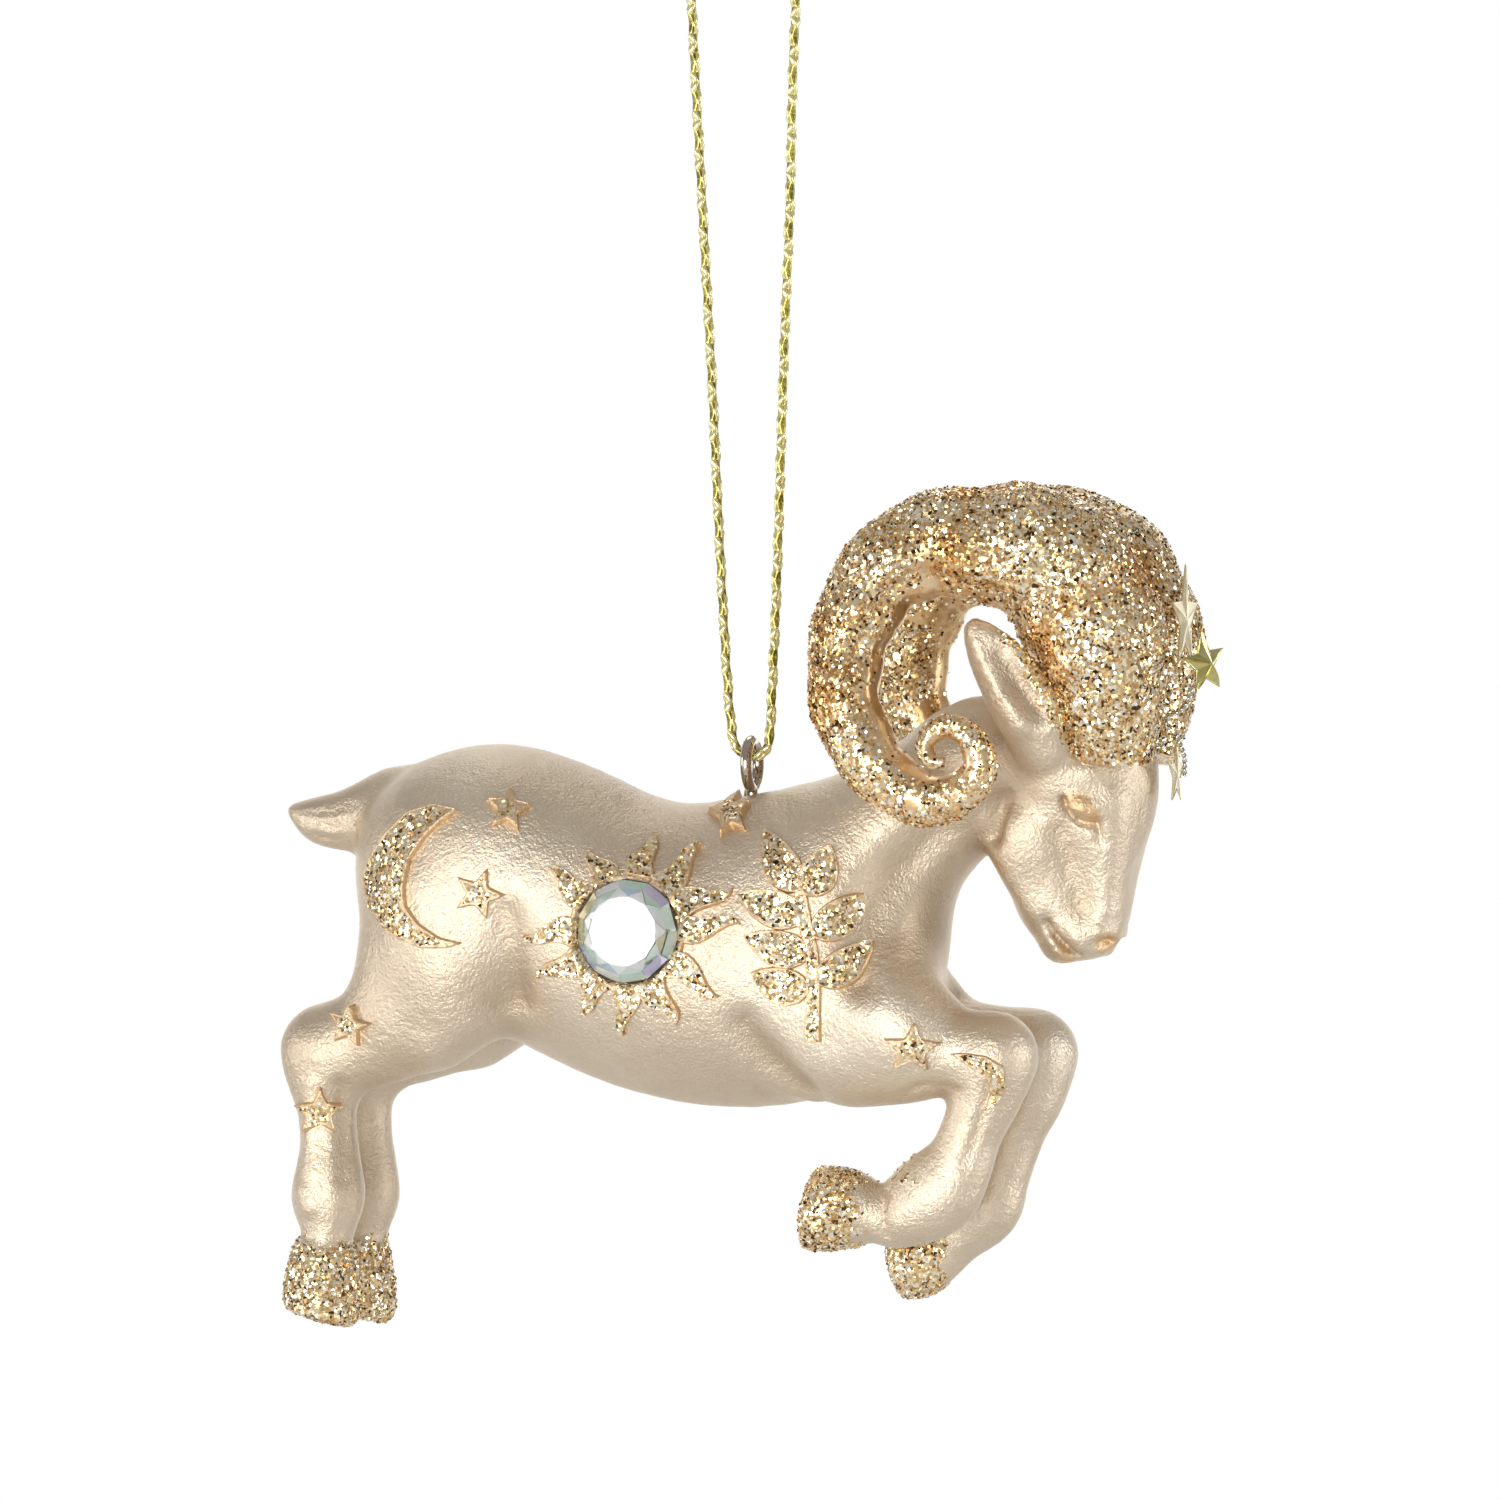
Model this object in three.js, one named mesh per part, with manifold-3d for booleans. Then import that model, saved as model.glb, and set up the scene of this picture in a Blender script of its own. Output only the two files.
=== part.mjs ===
// Hanging ram ornament: cast body, two curled horns, set gems, screw eye on a cord loop,
// and a little garland of stars between the horns. Millimetres, +Z up, the ram faces +X.
// The origin is the crown of the cord loop, where the ornament hangs from.
import * as THREE from 'three';
import { mergeVertices, mergeGeometries } from 'three/addons/utils/BufferGeometryUtils.js';
import Module from 'manifold-3d';

const wasm = await Module();
wasm.setup();

// ---- driving dimensions -------------------------------------------------------------
const BODY_CELL = 2.5;          // facet size of the sculpted body
const RELIEF_HEIGHT = 0.6;       // how far the raised motifs stand out of the body
const FIT_GAP = 0.3;             // clearance between pieces that touch
const EYE_CENTRE_Z = -84;        // centre of the screw eye's ring
const EYE_RING_R = 2.25;         // ring centreline radius
const EYE_WIRE_R = 0.55;
const EYE_SHANK_END_Z = -93.5;
const PILOT_HOLE_R = 1.15;
const CORD_R = 0.5;
const GEM_R = 5.0;               // 10 mm flat-back stone
const GEM_TABLE_R = 3.3;
const GEM_GIRDLE_T = 0.5;
const GEM_HEIGHT = 2.7;
const GEM_X = -8.66, GEM_Z = -99.81;
const GEM_SEAT_Y = 12.5;         // depth of the flat the stone is glued to
const STAR_LARGE_R = 5.3, STAR_MEDIUM_R = 3.2, STAR_SMALL_R = 3.05;
const FOIL_T = 0.35;

// ---- sculpted form: swept ellipses [x, y, z, radius in XZ, radius in Y] ---------------
const FORMS = [
  { kind: 'tube', name: 'torso', k: 3.0, mirror: false, pts: [
    [-28.49,0,-93.05,10.1,13.0],
    [-24.85,0,-93.9,11.81,13.6],
    [-20.41,0,-96.67,13.14,13.7],
    [-14.99,0,-99.43,13.43,13.6],
    [-9.07,0,-101.43,13.9,13.4],
    [-3.16,0,-102.1,14.48,13.1],
    [2.76,0,-101.62,14.67,12.5],
    [6.7,0,-101.71,12.19,11.6],
    [8.68,0,-102.19,9.9,10.7] ] },
  { kind: 'tube', name: 'neck', k: 4.0, mirror: false, pts: [
    [9.27,0,-95.05,9.33,10.4],
    [13.9,0,-91.05,7.81,9.2],
    [18.54,0,-87.43,6.76,8.2],
    [22.97,0,-84.38,6.86,7.6],
    [27.9,0,-83.62,5.52,7.2] ] },
  { kind: 'tube', name: 'head', k: 2.6, mirror: false, pts: [
    [32.83,0,-85.05,6.86,7.0],
    [32.24,0,-86.95,7.33,7.1],
    [31.65,0,-90.1,6.86,6.5],
    [31.26,0,-93.14,6.29,5.7],
    [31.45,0,-96.0,5.62,4.9],
    [31.85,0,-98.1,4.48,4.4] ] },
  { kind: 'ball', name: 'muzzle', k: 1.4, mirror: false, c: [33.13,0,-99.24], r: [3.14,3.9,2.67] },
  { kind: 'ball', name: 'chin', k: 1.0, mirror: false, c: [30.27,0,-100.76], r: [1.81,3.1,2.1] },
  { kind: 'ball', name: 'cheek', k: 2.2, mirror: true, c: [28.11,-2.6,-90.48], r: [4.19,4.2,4.57] },
  { kind: 'tube', name: 'thigh', k: 3.0, mirror: true, pts: [
    [-26.19,-5.3,-97.43,10.29,8.0],
    [-28.42,-5.8,-102.0,8.76,7.3],
    [-31.13,-6.0,-106.19,6.86,6.2],
    [-34.48,-6.0,-109.14,5.33,4.8],
    [-37.86,-5.9,-110.76,4.48,4.2],
    [-40.32,-5.9,-111.43,4.1,3.9] ] },
  { kind: 'tube', name: 'cannon_h', k: 2.0, mirror: true, pts: [
    [-40.32,-5.9,-111.43,4.1,3.9],
    [-40.52,-5.9,-114.57,3.43,3.4],
    [-40.42,-5.9,-116.95,2.86,3.0],
    [-40.22,-5.9,-120.29,2.76,2.9],
    [-40.22,-5.9,-123.14,3.24,3.3],
    [-40.32,-5.9,-125.33,3.52,3.5],
    [-40.32,-5.9,-127.62,2.76,3.0],
    [-40.42,-5.9,-129.52,2.38,2.8],
    [-40.82,-5.9,-131.43,3.05,3.4],
    [-40.91,-5.9,-133.71,3.52,3.9],
    [-40.91,-5.9,-135.62,3.62,4.1] ] },
  { kind: 'tube', name: 'arm_n', k: 3.0, mirror: false, pts: [
    [11.06,-5.2,-107.62,8.95,6.6],
    [16.11,-6.4,-109.71,6.48,5.6],
    [20.8,-6.6,-110.95,4.38,4.6],
    [25.23,-6.6,-111.62,4.0,4.1] ] },
  { kind: 'tube', name: 'cannon_n', k: 1.6, mirror: false, pts: [
    [25.43,-6.6,-111.71,3.9,4.0],
    [24.84,-6.6,-114.86,3.43,3.6],
    [23.24,-6.5,-118.67,2.95,3.1],
    [21.86,-6.5,-121.9,3.33,3.2],
    [19.69,-6.5,-124.57,4.1,3.4],
    [16.33,-6.5,-126.48,3.33,3.1],
    [13.97,-6.5,-126.67,2.67,2.9],
    [11.6,-6.5,-126.1,3.52,3.5],
    [9.24,-6.5,-126.1,3.9,3.9],
    [7.66,-6.5,-126.1,3.9,4.0] ] },
  { kind: 'tube', name: 'arm_f', k: 3.0, mirror: false, pts: [
    [10.44,5.2,-108.0,6.86,6.6],
    [15.84,6.4,-110.76,4.57,5.4],
    [21.2,6.6,-111.14,4.29,4.6],
    [25.64,6.6,-111.52,4.0,4.1] ] },
  { kind: 'tube', name: 'cannon_f', k: 1.6, mirror: false, pts: [
    [26.04,6.6,-111.71,4.0,4.0],
    [25.74,6.6,-115.05,3.43,3.6],
    [24.19,6.5,-118.86,2.95,3.1],
    [22.71,6.5,-123.24,2.86,3.1],
    [21.33,6.5,-126.29,3.33,3.4],
    [18.57,6.5,-128.76,2.86,2.9],
    [16.2,6.5,-130.67,3.05,3.5],
    [14.82,6.5,-131.43,3.33,3.8],
    [13.64,6.5,-131.62,3.33,3.9] ] },
  { kind: 'tube', name: 'tail', k: 2.0, mirror: false, pts: [
    [-35.5,0,-88.19,3.81,4.2],
    [-39.44,0,-89.33,3.05,3.6],
    [-42.4,0,-89.43,2.38,3.0],
    [-44.37,0,-88.86,1.33,2.2],
    [-45.35,0,-88.48,0.67,1.4] ] },
  { kind: 'tube', name: 'ear', k: 1.2, mirror: true, pts: [
    [30.42,-7.2,-81.71,3.24,2.6],
    [29.24,-9.4,-78.48,3.33,2.0],
    [27.39,-10.6,-75.24,2.86,1.55],
    [25.88,-11.2,-72.86,2.1,1.2],
    [24.84,-11.4,-71.33,1.14,0.9] ] },
  { kind: 'cut', name: 'sole_near_fore', k: 0.8, mirror: false, c: [7.36,-6.5,-126.29], n: [-0.9825,0.1861], R: 7.5 },
  { kind: 'cut', name: 'sole_far_fore', k: 0.8, mirror: false, c: [12.46,6.5,-131.81], n: [-0.9746,-0.2239], R: 6.5 },
  { kind: 'cut', name: 'sole_hind', k: 0.8, mirror: true, c: [-40.72,-5.9,-136.95], n: [-0.2903,-0.9569], R: 8 },
];

// horn centreline from its base on the head to the tip of the curl, right side
const HORN_SPINE = [
  [36.16,-4.7,-83.05,4.19,3.6],
  [36.4,-5.2,-81.24,4.48,4.1],
  [36.54,-6.1,-77.9,5.14,5.0],
  [36.16,-6.9,-72.95,6.29,5.9],
  [33.38,-7.2,-67.24,6.76,5.9],
  [29.99,-7.8,-64.29,6.48,6.0],
  [24.45,-9.2,-63.24,5.52,5.2],
  [19.08,-10.5,-63.9,4.86,4.7],
  [15.21,-11.5,-66.95,4.19,4.1],
  [12.86,-12.3,-72.0,3.71,3.6],
  [12.46,-13.0,-76.95,3.43,3.3],
  [13.9,-13.6,-81.43,3.24,3.1],
  [16.62,-14.2,-84.95,2.95,2.85],
  [20.49,-15.0,-87.24,2.57,2.5],
  [24.25,-15.8,-86.86,2.1,2.0],
  [26.51,-16.5,-84.19,1.67,1.6],
  [25.66,-17.0,-81.33,1.29,1.3],
  [23.37,-17.3,-80.48,1.1,1.1],
  [21.58,-17.6,-81.9,0.9,0.9],
  [22.05,-17.9,-83.62,0.71,0.75],
  [23.46,-18.0,-83.81,0.48,0.5] ];

const HORN_RIDGE = 0.035, HORN_RIDGE_PITCH = 6.5, HORN_SUB = 2, HORN_SEG = 14;

// raised motifs on the flank, outlines in X and Z
const RELIEFS = {
  star_rump: [[-21.57,-87.51],[-23.17,-87.43],[-21.91,-88.67],[-22.27,-90.19],[-20.87,-89.56],[-19.53,-90.58],[-19.89,-88.96],[-18.75,-88.06],[-20.33,-87.69],[-21.1,-86.12]],
  star_hip: [[-23.42,-95.11],[-25.24,-94.64],[-24.34,-96.24],[-25.38,-97.78],[-23.5,-97.44],[-22.36,-98.85],[-22.09,-97.04],[-20.36,-96.38],[-22.04,-95.6],[-22.18,-93.78]],
  star_hock: [[-37.36,-108.01],[-39.19,-107.88],[-37.94,-109.1],[-38.51,-110.54],[-36.97,-109.99],[-35.74,-111.01],[-35.74,-109.45],[-34.17,-108.63],[-35.91,-108.22],[-36.39,-106.7]],
  star_shin: [[-40.85,-116.15],[-42.84,-116.32],[-41.38,-117.52],[-41.86,-119.3],[-40.24,-118.37],[-38.91,-119.3],[-39.23,-117.52],[-38.11,-116.32],[-39.54,-116.15],[-40.05,-114.48]],
  star_saddle: [[-1.68,-88.19],[-3.2,-88.62],[-1.25,-89.47],[-0.82,-91.09],[0.19,-90.03],[2.01,-90.61],[0.87,-89.1],[1.45,-87.83],[-0.37,-87.97],[-0.84,-86.61]],
  star_arm: [[18.19,-109.77],[16.15,-109.78],[17.54,-111.02],[16.8,-112.66],[18.71,-111.91],[20.24,-112.91],[20.1,-111.21],[21.7,-110.2],[19.75,-109.89],[19.07,-108.26]],
  knee_moon: [[24.22,-112.57],[25.74,-113.52],[25.78,-115.05],[25.08,-116.95],[26.6,-115.81],[27.45,-114.1],[27.34,-112.38],[25.82,-111.43],[23.65,-111.14],[22.08,-111.24]],
  moon: [[-25.35,-88.48],[-28.05,-88.0],[-30.64,-88.76],[-32.78,-90.86],[-34.57,-93.33],[-35.23,-95.05],[-34.35,-97.71],[-31.78,-100.19],[-28.63,-101.52],[-26.24,-101.52],[-24.44,-100.95],[-26.78,-100.38],[-28.78,-99.05],[-30.01,-97.43],[-30.18,-95.81],[-29.76,-93.14],[-28.44,-91.05],[-26.97,-89.62]],
  sun: [[-9.85,-93.17],[-12.77,-92.1],[-13.0,-94.6],[-16.83,-94.0],[-14.9,-97.77],[-19.06,-100.0],[-15.02,-101.52],[-17.83,-104.48],[-13.56,-104.43],[-14.0,-107.62],[-10.66,-106.24],[-9.33,-109.71],[-7.29,-106.29],[-4.29,-108.86],[-4.37,-104.78],[0.54,-105.9],[-2.38,-101.6],[2.53,-99.33],[-2.4,-98.35],[1.41,-95.52],[-3.62,-95.99],[-2.0,-91.71],[-6.15,-93.94],[-7.72,-90.38]],
  stem: [[9.66,-110.29],[9.79,-105.71],[9.15,-101.9],[8.66,-99.14],[8.21,-96.29],[7.64,-96.29],[8.09,-99.24],[8.58,-102.1],[9.23,-105.81],[9.04,-110.29]],
  leaf_1: [[7.12,-95.71],[7.4,-94.44],[6.89,-92.65],[5.34,-91.32],[3.44,-90.48],[3.64,-92.25],[4.32,-94.06],[5.82,-95.31]],
  leaf_2: [[7.98,-95.24],[9.14,-95.33],[10.33,-94.76],[10.72,-93.45],[10.59,-92.0],[9.15,-92.16],[7.96,-92.8],[7.67,-94.11]],
  leaf_3: [[7.5,-97.62],[6.72,-96.55],[5.08,-95.7],[3.27,-95.88],[1.68,-96.57],[3.03,-97.79],[4.68,-98.6],[6.42,-98.35]],
  leaf_4: [[9.22,-100.1],[10.5,-100.15],[12.06,-99.44],[12.92,-97.89],[13.33,-96.19],[11.71,-96.44],[10.16,-97.24],[9.29,-98.79]],
  leaf_5: [[8.29,-101.52],[7.57,-100.44],[6.06,-99.56],[4.26,-99.71],[2.66,-100.38],[3.89,-101.62],[5.47,-102.46],[7.22,-102.24]],
  leaf_6: [[9.79,-104.67],[11.16,-104.78],[12.87,-104.11],[13.87,-102.58],[14.31,-100.86],[12.65,-101.04],[10.98,-101.79],[9.99,-103.34]],
  leaf_7: [[8.84,-104.95],[8.08,-103.9],[6.55,-103.07],[4.8,-103.28],[3.22,-104.0],[4.4,-105.2],[5.98,-105.98],[7.76,-105.7]],
};

// one cord from the knot down, through the eye and back up
const CORD_ROUTE = [
  [-2.3, 0, -0.75], [-4.1, 0, -2.0], [-5.55, 0, -4.6], [-6.0, 0, -8.0], [-5.87, 0, -13.1], [-5.47, 0, -20.8],
  [-4.93, 0, -30.3], [-4.39, 0, -39.8], [-3.85, 0, -49.3], [-3.40, 0, -58.9], [-2.91, 0, -68.4], [-2.40, 0, -76.5],
  [-2.05, 0, -80.2], [-1.75, 0, -81.9], [-1.05, 0, -82.95], [0, 0, -83.3], [1.05, 0, -82.95], [1.68, 0, -81.9],
  [1.82, 0, -80.2], [2.0, 0, -76.5], [2.37, 0, -68.4], [2.70, 0, -58.9], [3.0, 0, -49.3], [3.35, 0, -39.8],
  [3.75, 0, -30.3], [3.94, 0, -20.8], [4.24, 0, -13.1], [4.45, 0, -8.0], [4.35, 0, -4.8], [3.45, 0, -2.1], [2.1, 0, -0.75] ];

// ---- helpers --------------------------------------------------------------------------
function toManifold(geometry) {
  const g = new THREE.BufferGeometry();
  const src = geometry.index ? geometry.toNonIndexed() : geometry;
  g.setAttribute('position', src.getAttribute('position').clone());
  const m = mergeVertices(g, 1e-4);
  return new wasm.Manifold(new wasm.Mesh({
    numProp: 3,
    vertProperties: new Float32Array(m.getAttribute('position').array),
    triVerts: new Uint32Array(m.index.array) }));
}
function fromManifold(man) {
  const m = man.getMesh();
  const g = new THREE.BufferGeometry();
  const pos = new Float32Array(m.numVert * 3);
  for (let i = 0; i < m.numVert; i++) for (let c = 0; c < 3; c++) pos[3 * i + c] = m.vertProperties[i * m.numProp + c];
  g.setAttribute('position', new THREE.BufferAttribute(pos, 3));
  g.setIndex(new THREE.BufferAttribute(new Uint32Array(m.triVerts), 1));
  g.computeVertexNormals();
  return g;
}
function catmull(pts, sub) {
  const out = [], n = pts.length;
  for (let i = 0; i < n - 1; i++) {
    const p0 = pts[Math.max(i - 1, 0)], p1 = pts[i], p2 = pts[i + 1], p3 = pts[Math.min(i + 2, n - 1)];
    for (let j = 0; j < sub; j++) {
      const t = j / sub;
      out.push(p1.map((_, c) => 0.5 * (2 * p1[c] + (-p0[c] + p2[c]) * t
        + (2 * p0[c] - 5 * p1[c] + 4 * p2[c] - p3[c]) * t * t
        + (-p0[c] + 3 * p1[c] - 3 * p2[c] + p3[c]) * t * t * t)));
    }
  }
  out.push(pts[n - 1].slice());
  return out;
}
const shapes = [];
for (const f of FORMS) {
  const sides = f.mirror ? [1, -1] : [1];
  for (const s of sides) {
    if (f.kind === 'tube') shapes.push({ kind: 'tube', k: f.k, pts: catmull(f.pts.map(p => [p[0], s * p[1], p[2], p[3], p[4]]), 4) });
    else shapes.push({ ...f, c: [f.c[0], s * f.c[1], f.c[2]] });
  }
}
function tubeDist(x, y, z, pts) {
  let best = 1e9;
  for (let i = 0; i < pts.length - 1; i++) {
    const A = pts[i], B = pts[i + 1];
    const dx = B[0] - A[0], dz = B[2] - A[2];
    const L = Math.max(dx * dx + dz * dz, 1e-9);
    const px = x - A[0], pz = z - A[2];
    const t = Math.min(Math.max((px * dx + pz * dz) / L, 0), 1);
    const qx = px - t * dx, qz = pz - t * dz;
    const yc = A[1] + t * (B[1] - A[1]), a = A[3] + t * (B[3] - A[3]), b = A[4] + t * (B[4] - A[4]);
    const d2 = qx * qx + qz * qz, dy2 = (y - yc) * (y - yc);
    const k0 = Math.sqrt(d2 / (a * a) + dy2 / (b * b)), k1 = Math.sqrt(d2 / (a ** 4) + dy2 / (b ** 4));
    const f = k1 > 1e-6 ? k0 * (k0 - 1) / k1 : -Math.min(a, b);
    if (f < best) best = f;
  }
  return best;
}
function field(x, y, z) {
  let f = 1e3;
  for (const s of shapes) {
    if (s.kind === 'cut') {
      const qx = x - s.c[0], qy = y - s.c[1], qz = z - s.c[2];
      const g = Math.max(-(qx * s.n[0] + qz * s.n[1]), Math.sqrt(qx * qx + qy * qy + qz * qz) - s.R);
      const a = -f, b = g, h = Math.max(s.k - Math.abs(a - b), 0) / s.k;
      f = -(Math.min(a, b) - h * h * s.k * 0.25);
    } else {
      let g;
      if (s.kind === 'tube') g = tubeDist(x, y, z, s.pts);
      else {
        const qx = x - s.c[0], qy = y - s.c[1], qz = z - s.c[2];
        const k0 = Math.sqrt((qx / s.r[0]) ** 2 + (qy / s.r[1]) ** 2 + (qz / s.r[2]) ** 2);
        const k1 = Math.sqrt((qx / s.r[0] ** 2) ** 2 + (qy / s.r[1] ** 2) ** 2 + (qz / s.r[2] ** 2) ** 2);
        g = k1 > 1e-6 ? k0 * (k0 - 1) / k1 : -Math.min(...s.r);
      }
      const h = Math.max(s.k - Math.abs(f - g), 0) / s.k;
      f = Math.min(f, g) - h * h * s.k * 0.25;
    }
  }
  return f;
}
// closed surface of a sampled field, one vertex per crossed cell
let sampled = null;
function sampleField(lo, hi, h) {
  const n = [0, 1, 2].map(i => Math.ceil((hi[i] - lo[i]) / h) + 1);
  const F = new Float32Array(n[0] * n[1] * n[2]);
  for (let i = 0; i < n[0]; i++) for (let j = 0; j < n[1]; j++) for (let k = 0; k < n[2]; k++)
    F[(i * n[1] + j) * n[2] + k] = field(lo[0] + i * h, lo[1] + j * h, lo[2] + k * h);
  return { F, n, lo, h };
}
function surface(S, level) {
  const { n, lo, h } = S;
  const F = S.F.map(v => v - level);
  const ix = (i, j, k) => (i * n[1] + j) * n[2] + k;
  // where two sheets would meet in one cell, the weakest sample changes side so the skin stays one clean sheet
  const flip = list => {
    let q = list[0];
    for (const p of list) if (Math.abs(F[p]) < Math.abs(F[q])) q = p;
    F[q] = F[q] < 0 ? 0.02 : -0.02;
  };
  for (let pass = 0, changed = true; pass < 12 && changed; pass++) {
    changed = false;
    for (let i = 0; i < n[0] - 1; i++) for (let j = 0; j < n[1] - 1; j++) for (let k = 0; k < n[2] - 1; k++) {
      for (const f of [[ix(i, j, k), ix(i + 1, j, k), ix(i + 1, j + 1, k), ix(i, j + 1, k)],
        [ix(i, j, k), ix(i, j + 1, k), ix(i, j + 1, k + 1), ix(i, j, k + 1)],
        [ix(i, j, k), ix(i, j, k + 1), ix(i + 1, j, k + 1), ix(i + 1, j, k)]]) {
        const s = f.map(p => F[p] < 0);
        if (s[0] === s[2] && s[1] === s[3] && s[0] !== s[1]) { flip(f); changed = true; }
      }
      const c = [];
      for (let q = 0; q < 8; q++) c.push(ix(i + (q & 1), j + ((q >> 1) & 1), k + ((q >> 2) & 1)));
      const m = c.filter(p => F[p] < 0).length;
      for (let q = 0; q < 4; q++) {
        const a = F[c[q]] < 0, b = F[c[7 - q]] < 0;
        if (a === b && (a ? m === 2 : m === 6)) { flip([c[q], c[7 - q]]); changed = true; break; }
      }
    }
  }
  const at = (i, j, k) => F[ix(i, j, k)];
  const id = new Int32Array(n[0] * n[1] * n[2]).fill(-1);
  const pos = [], tri = [];
  const edges = [];
  for (let a = 0; a < 8; a++) for (let b = a + 1; b < 8; b++) { const d = a ^ b; if (d === 1 || d === 2 || d === 4) edges.push([a, b]); }
  for (let i = 0; i < n[0] - 1; i++) for (let j = 0; j < n[1] - 1; j++) for (let k = 0; k < n[2] - 1; k++) {
    const c = []; let s = 0;
    for (let q = 0; q < 8; q++) { const v = at(i + (q & 1), j + ((q >> 1) & 1), k + ((q >> 2) & 1)); c.push(v); if (v < 0) s++; }
    if (s === 0 || s === 8) continue;
    let x = 0, y = 0, z = 0, m = 0;
    for (const [a, b] of edges) {
      if ((c[a] < 0) === (c[b] < 0)) continue;
      const t = c[a] / (c[a] - c[b]);
      x += (a & 1) + t * ((b & 1) - (a & 1));
      y += ((a >> 1) & 1) + t * (((b >> 1) & 1) - ((a >> 1) & 1));
      z += ((a >> 2) & 1) + t * (((b >> 2) & 1) - ((a >> 2) & 1));
      m++;
    }
    id[(i * n[1] + j) * n[2] + k] = pos.length / 3;
    pos.push(lo[0] + (i + x / m) * h, lo[1] + (j + y / m) * h, lo[2] + (k + z / m) * h);
  }
  const cell = (i, j, k) => id[(i * n[1] + j) * n[2] + k];
  const quad = (a, b, c, d, flip) => {
    const P = q => [pos[3 * q], pos[3 * q + 1], pos[3 * q + 2]];
    const D = (p, q) => { const u = P(p), v = P(q); return (u[0] - v[0]) ** 2 + (u[1] - v[1]) ** 2 + (u[2] - v[2]) ** 2; };
    const q = flip ? [d, c, b, a] : [a, b, c, d];
    if (D(q[0], q[2]) <= D(q[1], q[3])) tri.push(q[0], q[1], q[2], q[0], q[2], q[3]);
    else tri.push(q[0], q[1], q[3], q[1], q[2], q[3]);
  };
  for (let i = 1; i < n[0] - 1; i++) for (let j = 1; j < n[1] - 1; j++) for (let k = 1; k < n[2] - 1; k++) {
    const v = at(i, j, k) < 0;
    if (v !== (at(i + 1, j, k) < 0)) quad(cell(i, j - 1, k - 1), cell(i, j, k - 1), cell(i, j, k), cell(i, j - 1, k), !v);
    if (v !== (at(i, j + 1, k) < 0)) quad(cell(i - 1, j, k - 1), cell(i - 1, j, k), cell(i, j, k), cell(i, j, k - 1), !v);
    if (v !== (at(i, j, k + 1) < 0)) quad(cell(i - 1, j - 1, k), cell(i, j - 1, k), cell(i, j, k), cell(i - 1, j, k), !v);
  }
  const g = new THREE.BufferGeometry();
  g.setAttribute('position', new THREE.BufferAttribute(new Float32Array(pos), 3));
  g.setIndex(tri);
  return g;
}
// prism of an outline given in X and Z, standing between two Y planes
function prismXZ(points, y0, y1) {
  const shape = new THREE.Shape(points.map(p => new THREE.Vector2(p[0], p[1])));
  const g = new THREE.ExtrudeGeometry(shape, { depth: Math.abs(y1 - y0), bevelEnabled: false });
  g.rotateX(Math.PI / 2);                 // (x, y, z) -> (x, -z, y)
  g.translate(0, Math.max(y0, y1), 0);
  return g;
}
function circle(r, n, cx = 0, cz = 0) {
  return Array.from({ length: n }, (_, i) => [cx + r * Math.cos(2 * Math.PI * i / n), cz + r * Math.sin(2 * Math.PI * i / n)]);
}
function horn(side, grow, sub, seg) {
  const c = catmull(HORN_SPINE, sub);
  const C = c.map(p => new THREE.Vector3(p[0], side * p[1], p[2]));
  const m = C.length, rings = [];
  let s = 0;
  for (let i = 0; i < m; i++) {
    const T = C[Math.min(i + 1, m - 1)].clone().sub(C[Math.max(i - 1, 0)]).normalize();
    if (i) s += C[i].distanceTo(C[i - 1]);
    const N = new THREE.Vector3().crossVectors(T, new THREE.Vector3(0, 1, 0)).normalize();
    const B = new THREE.Vector3().crossVectors(T, N);
    const P = C[i].clone();
    if (grow && i === 0) P.addScaledVector(T, -grow);
    if (grow && i === m - 1) P.addScaledVector(T, grow);
    const ring = [];
    for (let j = 0; j < seg; j++) {
      const th = 2 * Math.PI * j / seg;
      const ridge = 1 + HORN_RIDGE * Math.sin(2 * Math.PI * s / HORN_RIDGE_PITCH + side * th) * Math.min(1, s / 8);
      const a = c[i][3] * ridge + grow, b = c[i][4] * ridge + grow;
      ring.push(P.clone().addScaledVector(N, a * Math.cos(th)).addScaledVector(B, b * Math.sin(th)));
    }
    rings.push({ P, ring });
  }
  const pos = [], idx = [];
  for (const r of rings) for (const p of r.ring) pos.push(p.x, p.y, p.z);
  const a0 = m * seg, a1 = m * seg + 1;
  pos.push(...rings[0].P.toArray(), ...rings[m - 1].P.toArray());
  for (let i = 0; i < m - 1; i++) for (let j = 0; j < seg; j++) {
    const k = (j + 1) % seg, A = i * seg + j, B = (i + 1) * seg + j, Cc = (i + 1) * seg + k, D = i * seg + k;
    idx.push(A, B, Cc, A, Cc, D);
  }
  for (let j = 0; j < seg; j++) {
    const k = (j + 1) % seg;
    idx.push(a0, j, k, a1, (m - 1) * seg + k, (m - 1) * seg + j);
  }
  const g = new THREE.BufferGeometry();
  g.setAttribute('position', new THREE.BufferAttribute(new Float32Array(pos), 3));
  g.setIndex(idx);
  return outward(g);
}
function volume(g) {
  const s = g.index ? g.toNonIndexed() : g, p = s.getAttribute('position');
  let v = 0; const a = new THREE.Vector3(), b = new THREE.Vector3(), c = new THREE.Vector3();
  for (let i = 0; i < p.count; i += 3) { a.fromBufferAttribute(p, i); b.fromBufferAttribute(p, i + 1); c.fromBufferAttribute(p, i + 2); v += a.dot(b.clone().cross(c)) / 6; }
  return v;
}
function outward(g) {
  if (volume(g) < 0) {
    const ix = Array.from(g.index.array);
    for (let i = 0; i < ix.length; i += 3) { const t = ix[i + 1]; ix[i + 1] = ix[i + 2]; ix[i + 2] = t; }
    g.setIndex(ix);
  }
  g.computeVertexNormals();
  return g;
}
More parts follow.
